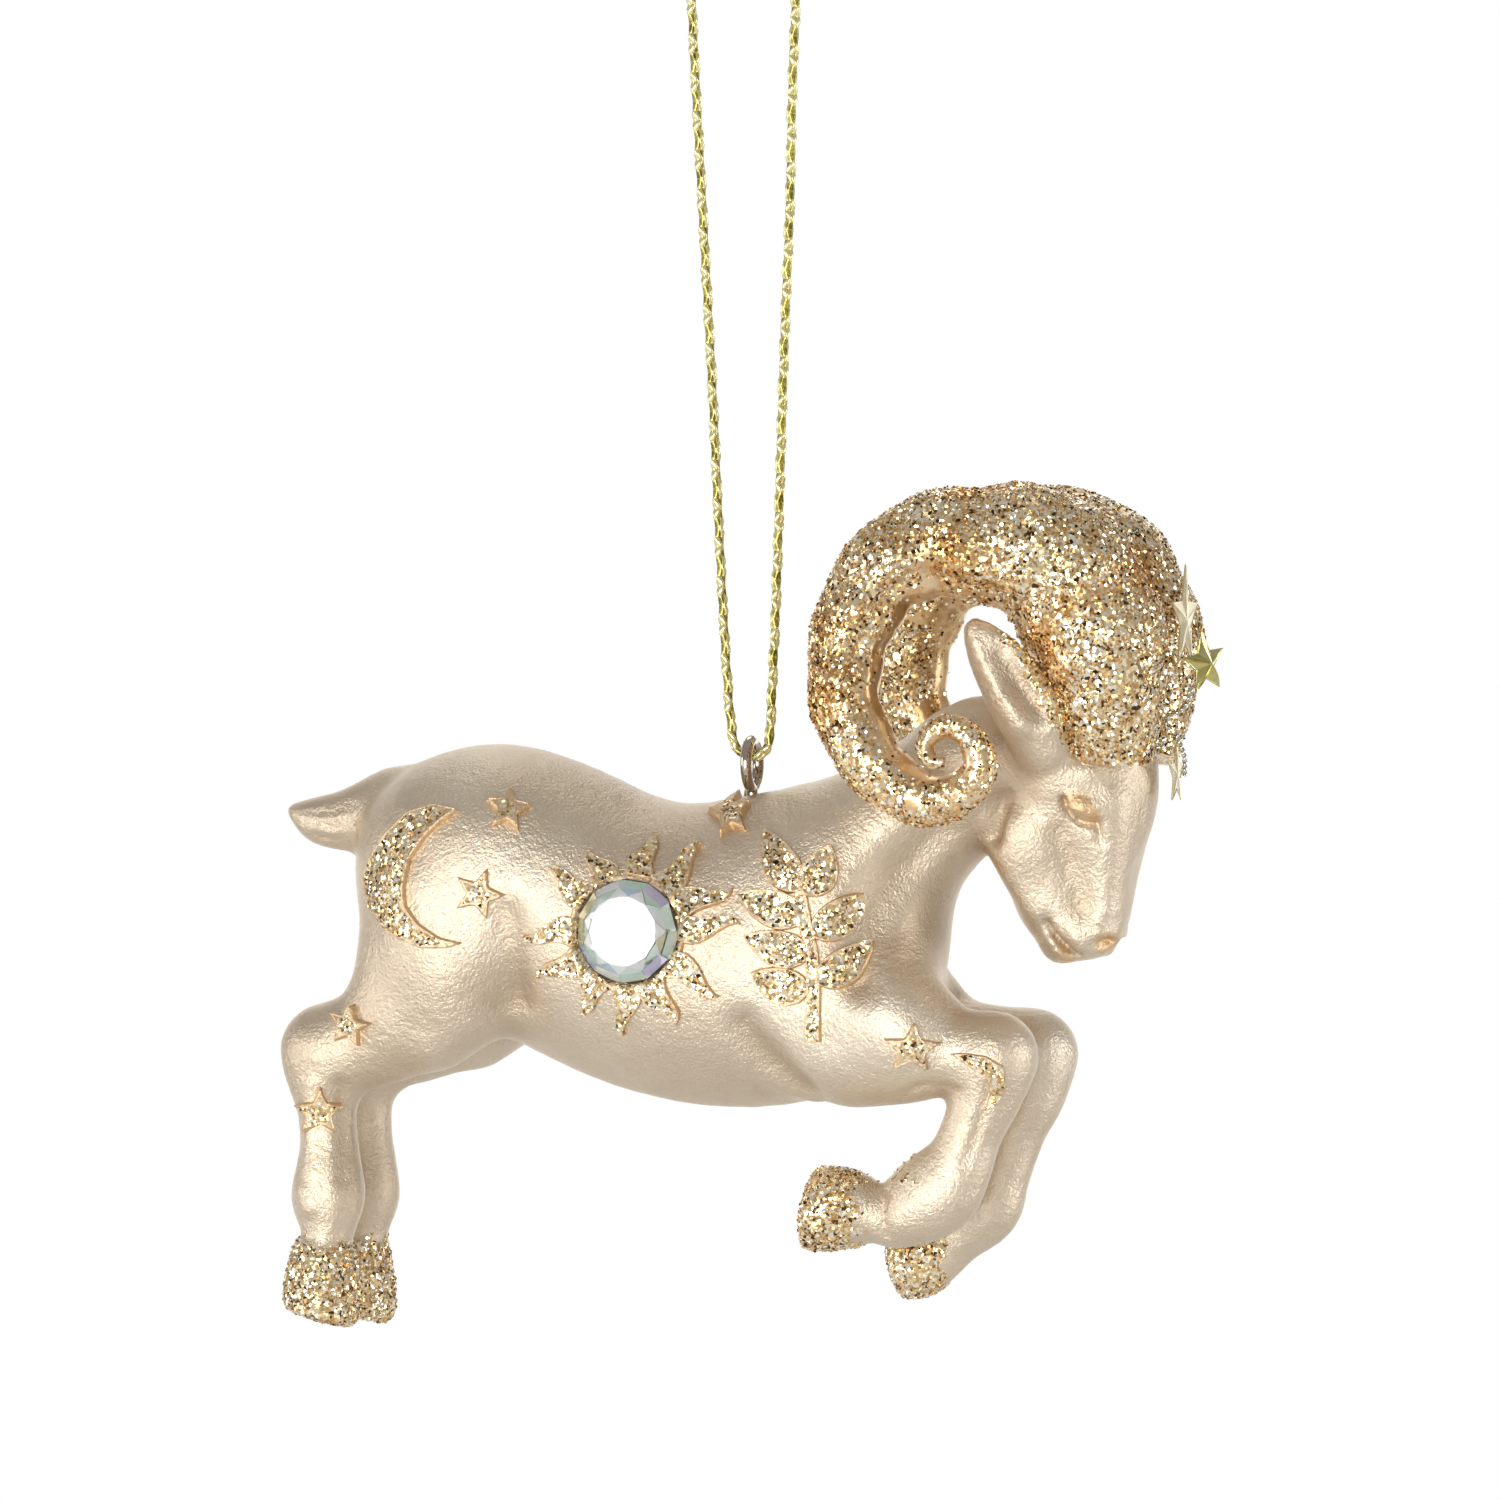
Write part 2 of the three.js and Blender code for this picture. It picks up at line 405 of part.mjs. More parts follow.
// tube along points with a round section
function tube(points, r, steps, sides) {
  const path = new THREE.CatmullRomCurve3(points.map(p => new THREE.Vector3(...p)), false, 'centripetal');
  const shape = new THREE.Shape(circle(r, sides).map(p => new THREE.Vector2(p[0], p[1])));
  return new THREE.ExtrudeGeometry(shape, { steps, extrudePath: path, bevelEnabled: false });
}
function starPoints(R, ratio, n = 5, rot = Math.PI / 2) {
  return Array.from({ length: 2 * n }, (_, i) => {
    const r = i % 2 ? R * ratio : R, a = rot + Math.PI * i / n;
    return [r * Math.cos(a), r * Math.sin(a)];
  });
}
// star with a raised ridge along each arm, face to +X
function puffedStar(R, ratio, t, rise) {
  const P = starPoints(R, ratio), pos = [], idx = [], n = P.length;
  for (const [y, z] of P) pos.push(-t / 2, y, z);
  for (const [y, z] of P) pos.push(t / 2, y, z);
  pos.push(t / 2 + rise, 0, 0, -t / 2, 0, 0);
  for (let i = 0; i < n; i++) {
    const j = (i + 1) % n;
    idx.push(i, j, n + j, i, n + j, n + i, n + i, n + j, 2 * n, j, i, 2 * n + 1);
  }
  const g = new THREE.BufferGeometry();
  g.setAttribute('position', new THREE.BufferAttribute(new Float32Array(pos), 3));
  g.setIndex(idx);
  return outward(g);
}

const group = new THREE.Group();
group.name = 'ram_ornament';
function add(name, geometry, color, roughness, metalness) {
  const m = new THREE.Mesh(geometry, new THREE.MeshStandardMaterial({ color, roughness, metalness }));
  m.name = name;
  group.add(m);
}

// ---- ram body --------------------------------------------------------------------------
sampled = sampleField([-49.1, -19.35, -142.1], [46, 19.4, -68], BODY_CELL);
const skin = toManifold(outward(surface(sampled, 0)));
const raised = toManifold(outward(surface(sampled, RELIEF_HEIGHT)));
let body = skin;
for (const side of [-1, 1]) {
  for (const [name, pts] of Object.entries(RELIEFS)) {
    const deep = name === 'star_saddle' ? 0.2 : 3.5;
    body = body.add(raised.intersect(toManifold(prismXZ(pts, side * deep, side * 19))));
  }
}
for (const side of [-1, 1]) {
  const seat = toManifold(prismXZ(circle(GEM_R + 0.55, 24, GEM_X, GEM_Z), side * GEM_SEAT_Y, side * 19));
  body = body.subtract(seat);
  body = body.subtract(toManifold(horn(side, FIT_GAP, HORN_SUB, HORN_SEG)));
}
const pilot = new THREE.LatheGeometry([[0, EYE_SHANK_END_Z - 0.5], [PILOT_HOLE_R, EYE_SHANK_END_Z + 0.6], [PILOT_HOLE_R, EYE_CENTRE_Z]
  , [0, EYE_CENTRE_Z]].map(p => new THREE.Vector2(p[0], p[1])), 12);
pilot.rotateX(Math.PI / 2);
body = body.subtract(toManifold(outward(mergeVertices(stripped(pilot), 1e-4))));
add('ram_body', fromManifold(body), 0xc8b99a, 0.38, 0.7);
function stripped(g) {
  const s = g.index ? g.toNonIndexed() : g, o = new THREE.BufferGeometry();
  o.setAttribute('position', s.getAttribute('position').clone());
  return o;
}

// ---- horns -----------------------------------------------------------------------------
add('horn_right', horn(1, 0, HORN_SUB, HORN_SEG), 0xc09a66, 0.5, 0.8);
add('horn_left', horn(-1, 0, HORN_SUB, HORN_SEG), 0xc09a66, 0.5, 0.8);

// ---- gems ------------------------------------------------------------------------------
function gem(side) {
  const y0 = GEM_SEAT_Y + FIT_GAP, n = 12, pos = [], idx = [];
  const rings = [[GEM_R - 0.15, y0, 0], [GEM_R, y0 + 0.2, 0], [GEM_R, y0 + GEM_GIRDLE_T, 0], [GEM_TABLE_R, y0 + GEM_HEIGHT, 0.5]];
  for (const [r, y, o] of rings) for (let i = 0; i < n; i++) {
    const a = 2 * Math.PI * (i + 0.5 + o) / n;
    pos.push(GEM_X + r * Math.cos(a), side * y, GEM_Z + r * Math.sin(a));
  }
  for (let q = 0; q < 3; q++) for (let i = 0; i < n; i++) {
    const j = (i + 1) % n, A = q * n + i, B = q * n + j, C = (q + 1) * n + j, D = (q + 1) * n + i;
    if (q < 2) idx.push(A, B, C, A, C, D);
    else idx.push(A, B, D, B, C, D);
  }
  const b = pos.length / 3;
  pos.push(GEM_X, side * y0, GEM_Z, GEM_X, side * (y0 + GEM_HEIGHT), GEM_Z);
  for (let i = 0; i < n; i++) { const j = (i + 1) % n; idx.push(b, j, i, b + 1, 3 * n + i, 3 * n + j); }
  const g = new THREE.BufferGeometry();
  g.setAttribute('position', new THREE.BufferAttribute(new Float32Array(pos), 3));
  g.setIndex(idx);
  return outward(g);
}
add('gem_right', gem(-1), 0xcfe3dc, 0.05, 0.1);
add('gem_left', gem(1), 0xcfe3dc, 0.05, 0.1);

// ---- screw eye: ring across the ram's width, threaded shank into the back -----------------
const ring = new THREE.TorusGeometry(EYE_RING_R, EYE_WIRE_R, 8, 18);
ring.rotateY(Math.PI / 2);
ring.translate(0, 0, EYE_CENTRE_Z);
const shankProfile = [[0, EYE_SHANK_END_Z]];
for (let z = EYE_SHANK_END_Z + 0.9; z < EYE_CENTRE_Z - 4.0; z += 0.9) shankProfile.push([0.5, z - 0.25], [0.8, z + 0.15]);
shankProfile.push([0.55, EYE_CENTRE_Z - 3.7], [0.55, EYE_CENTRE_Z - EYE_RING_R], [0, EYE_CENTRE_Z - EYE_RING_R]);
const shank = new THREE.LatheGeometry(shankProfile.map(p => new THREE.Vector2(p[0], p[1])), 8);
shank.rotateX(Math.PI / 2);
const eye = toManifold(outward(mergeVertices(stripped(ring), 1e-4))).add(toManifold(outward(mergeVertices(stripped(shank), 1e-4))));
add('screw_eye', fromManifold(eye), 0xb9aa90, 0.3, 1.0);

// ---- cord loop and its knot -----------------------------------------------------------------
add('hanging_cord', tube(CORD_ROUTE, CORD_R, 66, 8), 0xd9c878, 0.45, 0.6);
const knotProfile = [[0, -1.55], [0.95, -1.35], [1.55, -0.75], [1.35, -0.25], [1.6, 0.15], [1.6, 0.6], [1.1, 1.15], [0, 1.35]];
const knotBall = new THREE.LatheGeometry(knotProfile.map(p => new THREE.Vector2(p[0], p[1])), 12);
knotBall.rotateX(Math.PI / 2);
knotBall.translate(0, 0, -0.2);
const tailA = tube([[0.2, 0.35, 0.2], [1.0, 1.2, 1.5], [2.2, 1.5, 3.2], [3.6, 1.4, 4.3]], CORD_R, 5, 8);
const tailB = tube([[-0.2, -0.35, 0.2], [-1.0, -1.2, 1.4], [-2.0, -1.6, 3.0], [-3.0, -1.5, 4.8]], CORD_R, 5, 8);
let knot = toManifold(outward(mergeVertices(stripped(knotBall), 1e-4)));
knot = knot.add(toManifold(outward(mergeVertices(stripped(tailA), 1e-4)))).add(toManifold(outward(mergeVertices(stripped(tailB), 1e-4))));
add('cord_knot', fromManifold(knot), 0xd9c878, 0.45, 0.6);

// ---- garland of foil stars ---------------------------------------------------------------------
const large = puffedStar(STAR_LARGE_R, 0.42, FOIL_T, 0.15);
large.translate(42.35, 0, -70.4);
add('star_large', large, 0xe6dfc6, 0.35, 0.7);
const medium = puffedStar(STAR_MEDIUM_R, 0.45, FOIL_T, 1.0);
medium.rotateX(0.18);
medium.rotateZ(-25 * Math.PI / 180);
medium.translate(44.2, 0, -74.5);
add('star_medium', medium, 0xb7ab63, 0.35, 0.8);
add('garland_wire', tube([[43.0, -0.1, -76.9], [42.7, -0.5, -78.3], [41.6, -0.3, -79.1], [40.75, 0.2, -79.4], [40.55, 0.3, -80.3], [41.3, 0.1, -80.5]], 0.28, 14, 6), 0xb8b4a4, 0.35, 1.0);
add('dangle_wire', tube([[41.5, 0, -81.2], [41.95, 0, -82.2], [42.35, 0, -83.4], [42.35, 0, -85.2]], 0.25, 8, 6), 0xb8b4a4, 0.35, 1.0);
const small = puffedStar(STAR_SMALL_R, 0.45, FOIL_T, 0.05);
small.translate(41.5, 0, -84.95);
add('star_small', small, 0xd8d2b4, 0.35, 0.8);

export default group;
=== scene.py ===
# Looks of the hanging ram ornament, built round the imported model. Lengths in the tables are
# millimetres in the row frame; everything given to Blender is in metres.
import math
import bpy
import numpy as np
from mathutils import Vector, Matrix
from mathutils.bvhtree import BVHTree
from mathutils.geometry import delaunay_2d_cdt


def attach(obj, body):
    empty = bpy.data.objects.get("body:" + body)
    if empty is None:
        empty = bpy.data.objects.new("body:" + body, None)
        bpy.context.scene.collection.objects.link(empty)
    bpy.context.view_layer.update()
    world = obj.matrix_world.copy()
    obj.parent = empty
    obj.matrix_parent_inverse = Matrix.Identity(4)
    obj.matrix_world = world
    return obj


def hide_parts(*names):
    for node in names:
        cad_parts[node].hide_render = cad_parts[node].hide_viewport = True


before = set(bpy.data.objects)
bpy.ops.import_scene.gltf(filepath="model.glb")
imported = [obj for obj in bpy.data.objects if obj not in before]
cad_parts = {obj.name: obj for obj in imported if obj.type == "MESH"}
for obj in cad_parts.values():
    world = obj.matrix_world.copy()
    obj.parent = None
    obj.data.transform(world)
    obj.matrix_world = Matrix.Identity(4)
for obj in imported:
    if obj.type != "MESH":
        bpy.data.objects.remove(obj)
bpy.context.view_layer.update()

rng = np.random.default_rng(7)
MM = 0.001

# ------------------------------------------------------------------ camera
AZ = math.radians(15.0)
SCALE = 10.5                      # picture points per millimetre at the object, in a 1500 frame
D = 1.6
right = Vector((math.cos(AZ), math.sin(AZ), 0))
into = Vector((-math.sin(AZ), math.cos(AZ), 0))
target = Vector((0, 0, (-84 + 14 / 10.5) * MM)) - right * (2 / 10.5) * MM
cam_data = bpy.data.cameras.new("camera")
cam_data.sensor_width = 36.0
cam_data.lens = 36.0 * D / (1500 / SCALE * MM)
cam_data.clip_start = 0.05
cam_data.clip_end = 20
cam = bpy.data.objects.new("camera", cam_data)
bpy.context.scene.collection.objects.link(cam)
cam.location = target - into * D
cam.rotation_euler = (math.radians(90), 0, AZ)
bpy.context.scene.camera = cam
bpy.context.scene.view_settings.view_transform = "Standard"
bpy.context.scene.view_settings.look = "None"

# ------------------------------------------------------------------ tables
FORMS = [
    ('tube','add','torso',3.0,False,[[-28.49,0,-93.05,10.1,13.0],[-24.85,0,-93.9,11.81,13.6],[-20.41,0,-96.67,13.14,13.7],[-14.99,0,-99.43,13.43,13.6],[-9.07,0,-101.43,13.9,13.4],[-3.16,0,-102.1,14.48,13.1],[2.76,0,-101.62,14.67,12.5],[6.7,0,-101.71,12.19,11.6],[8.68,0,-102.19,9.9,10.7]]),
    ('tube','add','neck',4.0,False,[[9.27,0,-95.05,9.33,10.4],[13.9,0,-91.05,7.81,9.2],[18.54,0,-87.43,6.76,8.2],[22.97,0,-84.38,6.86,7.6],[27.9,0,-83.62,5.52,7.2]]),
    ('tube','add','head',2.6,False,[[32.83,0,-85.05,6.86,7.0],[32.24,0,-86.95,7.33,7.1],[31.65,0,-90.1,6.86,6.5],[31.26,0,-93.14,6.29,5.7],[31.45,0,-96.0,5.62,4.9],[31.85,0,-98.1,4.48,4.4]]),
    ('ball','add','muzzle',1.4,False,[[33.13,0,-99.24],[3.14,3.9,2.67]]),
    ('ball','add','chin',1.0,False,[[30.27,0,-100.76],[1.81,3.1,2.1]]),
    ('ball','add','cheek',2.2,True,[[28.11,-2.6,-90.48],[4.19,4.2,4.57]]),
    ('tube','add','thigh',3.0,True,[[-26.19,-5.3,-97.43,10.29,8.0],[-28.42,-5.8,-102.0,8.76,7.3],[-31.13,-6.0,-106.19,6.86,6.2],[-34.48,-6.0,-109.14,5.33,4.8],[-37.86,-5.9,-110.76,4.48,4.2],[-40.32,-5.9,-111.43,4.1,3.9]]),
    ('tube','add','cannon_h',2.0,True,[[-40.32,-5.9,-111.43,4.1,3.9],[-40.52,-5.9,-114.57,3.43,3.4],[-40.42,-5.9,-116.95,2.86,3.0],[-40.22,-5.9,-120.29,2.76,2.9],[-40.22,-5.9,-123.14,3.24,3.3],[-40.32,-5.9,-125.33,3.52,3.5],[-40.32,-5.9,-127.62,2.76,3.0],[-40.42,-5.9,-129.52,2.38,2.8],[-40.82,-5.9,-131.43,3.05,3.4],[-40.91,-5.9,-133.71,3.52,3.9],[-40.91,-5.9,-135.62,3.62,4.1]]),
    ('tube','add','arm_n',3.0,False,[[11.06,-5.2,-107.62,8.95,6.6],[16.11,-6.4,-109.71,6.48,5.6],[20.8,-6.6,-110.95,4.38,4.6],[25.23,-6.6,-111.62,4.0,4.1]]),
    ('tube','add','cannon_n',1.6,False,[[25.43,-6.6,-111.71,3.9,4.0],[24.84,-6.6,-114.86,3.43,3.6],[23.24,-6.5,-118.67,2.95,3.1],[21.86,-6.5,-121.9,3.33,3.2],[19.69,-6.5,-124.57,4.1,3.4],[16.33,-6.5,-126.48,3.33,3.1],[13.97,-6.5,-126.67,2.67,2.9],[11.6,-6.5,-126.1,3.52,3.5],[9.24,-6.5,-126.1,3.9,3.9],[7.66,-6.5,-126.1,3.9,4.0]]),
    ('tube','add','arm_f',3.0,False,[[10.44,5.2,-108.0,6.86,6.6],[15.84,6.4,-110.76,4.57,5.4],[21.2,6.6,-111.14,4.29,4.6],[25.64,6.6,-111.52,4.0,4.1]]),
    ('tube','add','cannon_f',1.6,False,[[26.04,6.6,-111.71,4.0,4.0],[25.74,6.6,-115.05,3.43,3.6],[24.19,6.5,-118.86,2.95,3.1],[22.71,6.5,-123.24,2.86,3.1],[21.33,6.5,-126.29,3.33,3.4],[18.57,6.5,-128.76,2.86,2.9],[16.2,6.5,-130.67,3.05,3.5],[14.82,6.5,-131.43,3.33,3.8],[13.64,6.5,-131.62,3.33,3.9]]),
    ('tube','add','tail',2.0,False,[[-35.5,0,-88.19,3.81,4.2],[-39.44,0,-89.33,3.05,3.6],[-42.4,0,-89.43,2.38,3.0],[-44.37,0,-88.86,1.33,2.2],[-45.35,0,-88.48,0.67,1.4]]),
    ('tube','add','ear',1.2,True,[[30.42,-7.2,-81.71,3.24,2.6],[29.24,-9.4,-78.48,3.33,2.0],[27.39,-10.6,-75.24,2.86,1.55],[25.88,-11.2,-72.86,2.1,1.2],[24.84,-11.4,-71.33,1.14,0.9]]),
    ('tube','add','eyelid',0.7,True,[[32.34,-6.25,-87.05,0.86,1.2],[33.39,-6.5,-87.9,1.05,1.2],[34.55,-6.05,-88.19,1.05,1.2],[35.35,-5.35,-88.0,0.67,1.2]]),
    ('tube','add','brow',1.6,True,[[30.33,-5.75,-86.1,1.24,1.6],[32.17,-6.0,-85.14,1.33,1.6],[34.41,-5.5,-84.86,1.24,1.6]]),
    ('tube','add','nose_bridge',2.0,True,[[36.24,-4.25,-87.43,1.24,1.6],[35.84,-2.75,-93.14,1.14,1.6],[35.03,-1.95,-97.43,1.05,1.6]]),
    ('tube','add','jaw',2.0,True,[[26.41,-5.1,-89.9,1.33,1.8],[27.11,-4.05,-94.1,1.24,1.8],[28.75,-2.8,-97.43,1.05,1.8]]),
    ('tube','add','lip',0.5,True,[[30.31,-3.45,-99.43,0.48,0.7],[30.96,-2.95,-101.14,0.57,0.7],[31.76,-1.5,-102.19,0.48,0.7]]),
    ('tube','add','nostril_rim',0.5,True,[[34.18,-3.2,-100.0,0.57,0.8],[35.09,-2.9,-99.81,0.67,0.8],[35.87,-1.4,-100.0,0.57,0.8]]),
    ('tube','add','upper_lip',0.6,True,[[32.69,-3.5,-100.38,0.67,0.8],[33.34,-3.0,-101.14,0.76,0.8],[34.35,-1.6,-101.52,0.67,0.8]]),
    ('tube','add','chin_lobe',0.8,True,[[30.33,-2.8,-100.57,0.76,1.0],[30.98,-2.3,-101.71,0.76,1.0]]),
    ('tube','add','shoulder_point',3.0,True,[[13.69,-8.4,-105.05,2.86,3.0],[15.68,-9.2,-107.62,3.24,3.0],[17.5,-9.0,-109.33,2.48,3.0]]),
    ('tube','add','hip',3.0,True,[[-29.4,-10.6,-96.95,3.43,3.0],[-27.91,-10.65,-101.71,3.81,3.0],[-27.4,-9.6,-105.05,3.24,3.0]]),
    ('tube','add','stifle',3.0,True,[[-25.86,-8.0,-108.38,2.1,2.5],[-28.67,-7.8,-110.48,1.9,2.5]]),
    ('tube','add','ear_rim',0.6,True,[[24.63,-11.7,-71.43,0.48,0.8],[25.46,-11.85,-73.62,0.57,0.8],[26.94,-11.5,-76.57,0.57,0.8],[28.61,-11.1,-78.67,0.57,0.8],[29.61,-10.4,-80.57,0.57,0.8]]),
    ('tube','add','ear_lobe',1.0,True,[[27.27,-10.5,-77.9,1.33,1.4],[28.55,-10.15,-80.0,1.43,1.4]]),
    ('tube','add','hind_tendon',1.0,True,[[-41.05,-8.7,-114.57,0.67,1.0],[-41.27,-7.9,-118.86,0.57,1.0],[-41.06,-8.3,-123.14,0.57,1.0]]),
    ('tube','add','fetlock_back',1.0,True,[[-41.76,-8.25,-124.76,0.76,1.2],[-41.34,-8.35,-126.1,0.76,1.2]]),
    ('tube','sub','flank',2.5,True,[[-20.11,-11.8,-106.48,1.24,1.8],[-19.96,-14.2,-102.19,1.24,1.8],[-20.42,-15.4,-98.38,1.14,1.8]]),
    ('tube','sub','elbow',2.0,True,[[2.4,-12.65,-108.95,1.14,1.8],[4.19,-10.5,-112.0,1.33,1.8],[6.98,-8.4,-115.05,1.33,1.8]]),
    ('tube','sub','neck_valley',3.0,True,[[20.54,-9.3,-90.48,1.52,2.4],[17.87,-9.3,-93.33,1.71,2.4],[15.8,-10.4,-96.0,1.71,2.4],[14.11,-12.2,-100.0,1.52,2.4],[13.53,-13.7,-104.1,1.33,2.4]]),
    ('tube','sub','throat',1.6,True,[[26.44,-7.4,-87.43,0.67,1.4],[25.38,-6.4,-90.76,0.76,1.4]]),
    ('tube','sub','cheek_hollow',2.2,True,[[32.13,-8.05,-90.86,1.33,1.8],[32.75,-6.7,-94.29,1.52,1.8],[33.34,-5.95,-97.43,1.24,1.8]]),
    ('tube','sub','eye_crease',0.3,True,[[32.3,-7.2,-87.14,0.34,0.7],[32.74,-6.65,-88.67,0.38,0.7],[33.99,-6.15,-89.52,0.38,0.7],[35.45,-6.1,-89.52,0.32,0.7]]),
    ('tube','sub','tear',0.4,True,[[35.28,-6.2,-89.52,0.3,0.7],[35.56,-5.75,-91.43,0.3,0.7]]),
    ('tube','sub','mouth',0.3,True,[[29.84,-4.3,-98.67,0.3,0.8],[30.37,-3.7,-99.81,0.34,0.8],[31.49,-3.1,-101.14,0.36,0.8],[32.39,-2.4,-101.9,0.34,0.8]]),
    ('tube','sub','nostril',0.35,True,[[34.87,-2.8,-100.86,0.34,1.0],[35.31,-1.9,-100.57,0.4,1.0],[35.8,-1.5,-100.76,0.34,1.0]]),
    ('tube','sub','ear_scoop',1.2,True,[[27.59,-13.2,-73.62,0.76,1.5],[29.33,-12.3,-76.38,1.14,1.5],[31.28,-11.5,-79.05,1.24,1.5]]),
    ('tube','sub','hind_groove',0.8,True,[[-38.25,-9.6,-114.57,0.38,0.7],[-38.24,-8.15,-118.86,0.38,0.7],[-38.01,-9.0,-123.62,0.38,0.7]]),
    ('tube','sub','wrist',0.5,True,[[16.89,-9.3,-115.43,0.29,0.6],[19.48,-10.15,-114.29,0.29,0.6],[22.71,-10.05,-114.86,0.29,0.6]]),
    ('tube','sub','fore_groove',0.8,True,[[26.19,-10.9,-114.1,0.38,0.7],[24.61,-9.8,-118.38,0.38,0.7],[23.36,-9.9,-121.71,0.38,0.7]]),
    ('tube','sub','pastern',0.8,True,[[15.51,-9.3,-124.57,0.38,0.8],[15.25,-9.8,-126.67,0.38,0.8],[15.51,-9.3,-128.57,0.38,0.8]]),
    ('tube','sub','tail_1',0.4,True,[[-38.6,-3.85,-88.0,0.24,0.5],[-41.22,-3.3,-88.57,0.24,0.5],[-43.62,-2.8,-88.67,0.19,0.5]]),
    ('tube','sub','tail_2',0.4,True,[[-38.3,-4.25,-89.52,0.24,0.5],[-40.87,-3.5,-89.9,0.24,0.5],[-43.47,-3.0,-89.52,0.19,0.5]]),
    ('tube','sub','tail_3',0.4,True,[[-38.1,-4.25,-91.05,0.24,0.5],[-40.69,-2.7,-91.33,0.24,0.5],[-42.86,-2.7,-90.67,0.19,0.5]]),
    ('cut','sub','sole_near_fore',0.8,False,[[7.36,-6.5,-126.29],[-0.9825,0.1861],7.5]),
    ('cut','sub','sole_far_fore',0.8,False,[[12.46,6.5,-131.81],[-0.9746,-0.2239],6.5]),
    ('cut','sub','sole_hind',0.8,True,[[-40.72,-5.9,-136.95],[-0.2903,-0.9569],8]),
]

HORN_SPINE = [
    [36.16,-4.7,-83.05,4.19,3.6],
    [36.4,-5.2,-81.24,4.48,4.1],
    [36.54,-6.1,-77.9,5.14,5.0],
    [36.16,-6.9,-72.95,6.29,5.9],
    [33.38,-7.2,-67.24,6.76,5.9],
    [29.99,-7.8,-64.29,6.48,6.0],
    [24.45,-9.2,-63.24,5.52,5.2],
    [19.08,-10.5,-63.9,4.86,4.7],
    [15.21,-11.5,-66.95,4.19,4.1],
    [12.86,-12.3,-72.0,3.71,3.6],
    [12.46,-13.0,-76.95,3.43,3.3],
    [13.9,-13.6,-81.43,3.24,3.1],
    [16.62,-14.2,-84.95,2.95,2.85],
    [20.49,-15.0,-87.24,2.57,2.5],
    [24.25,-15.8,-86.86,2.1,2.0],
    [26.51,-16.5,-84.19,1.67,1.6],
    [25.66,-17.0,-81.33,1.29,1.3],
    [23.37,-17.3,-80.48,1.1,1.1],
    [21.58,-17.6,-81.9,0.9,0.9],
    [22.05,-17.9,-83.62,0.71,0.75],
    [23.46,-18.0,-83.81,0.48,0.5]]

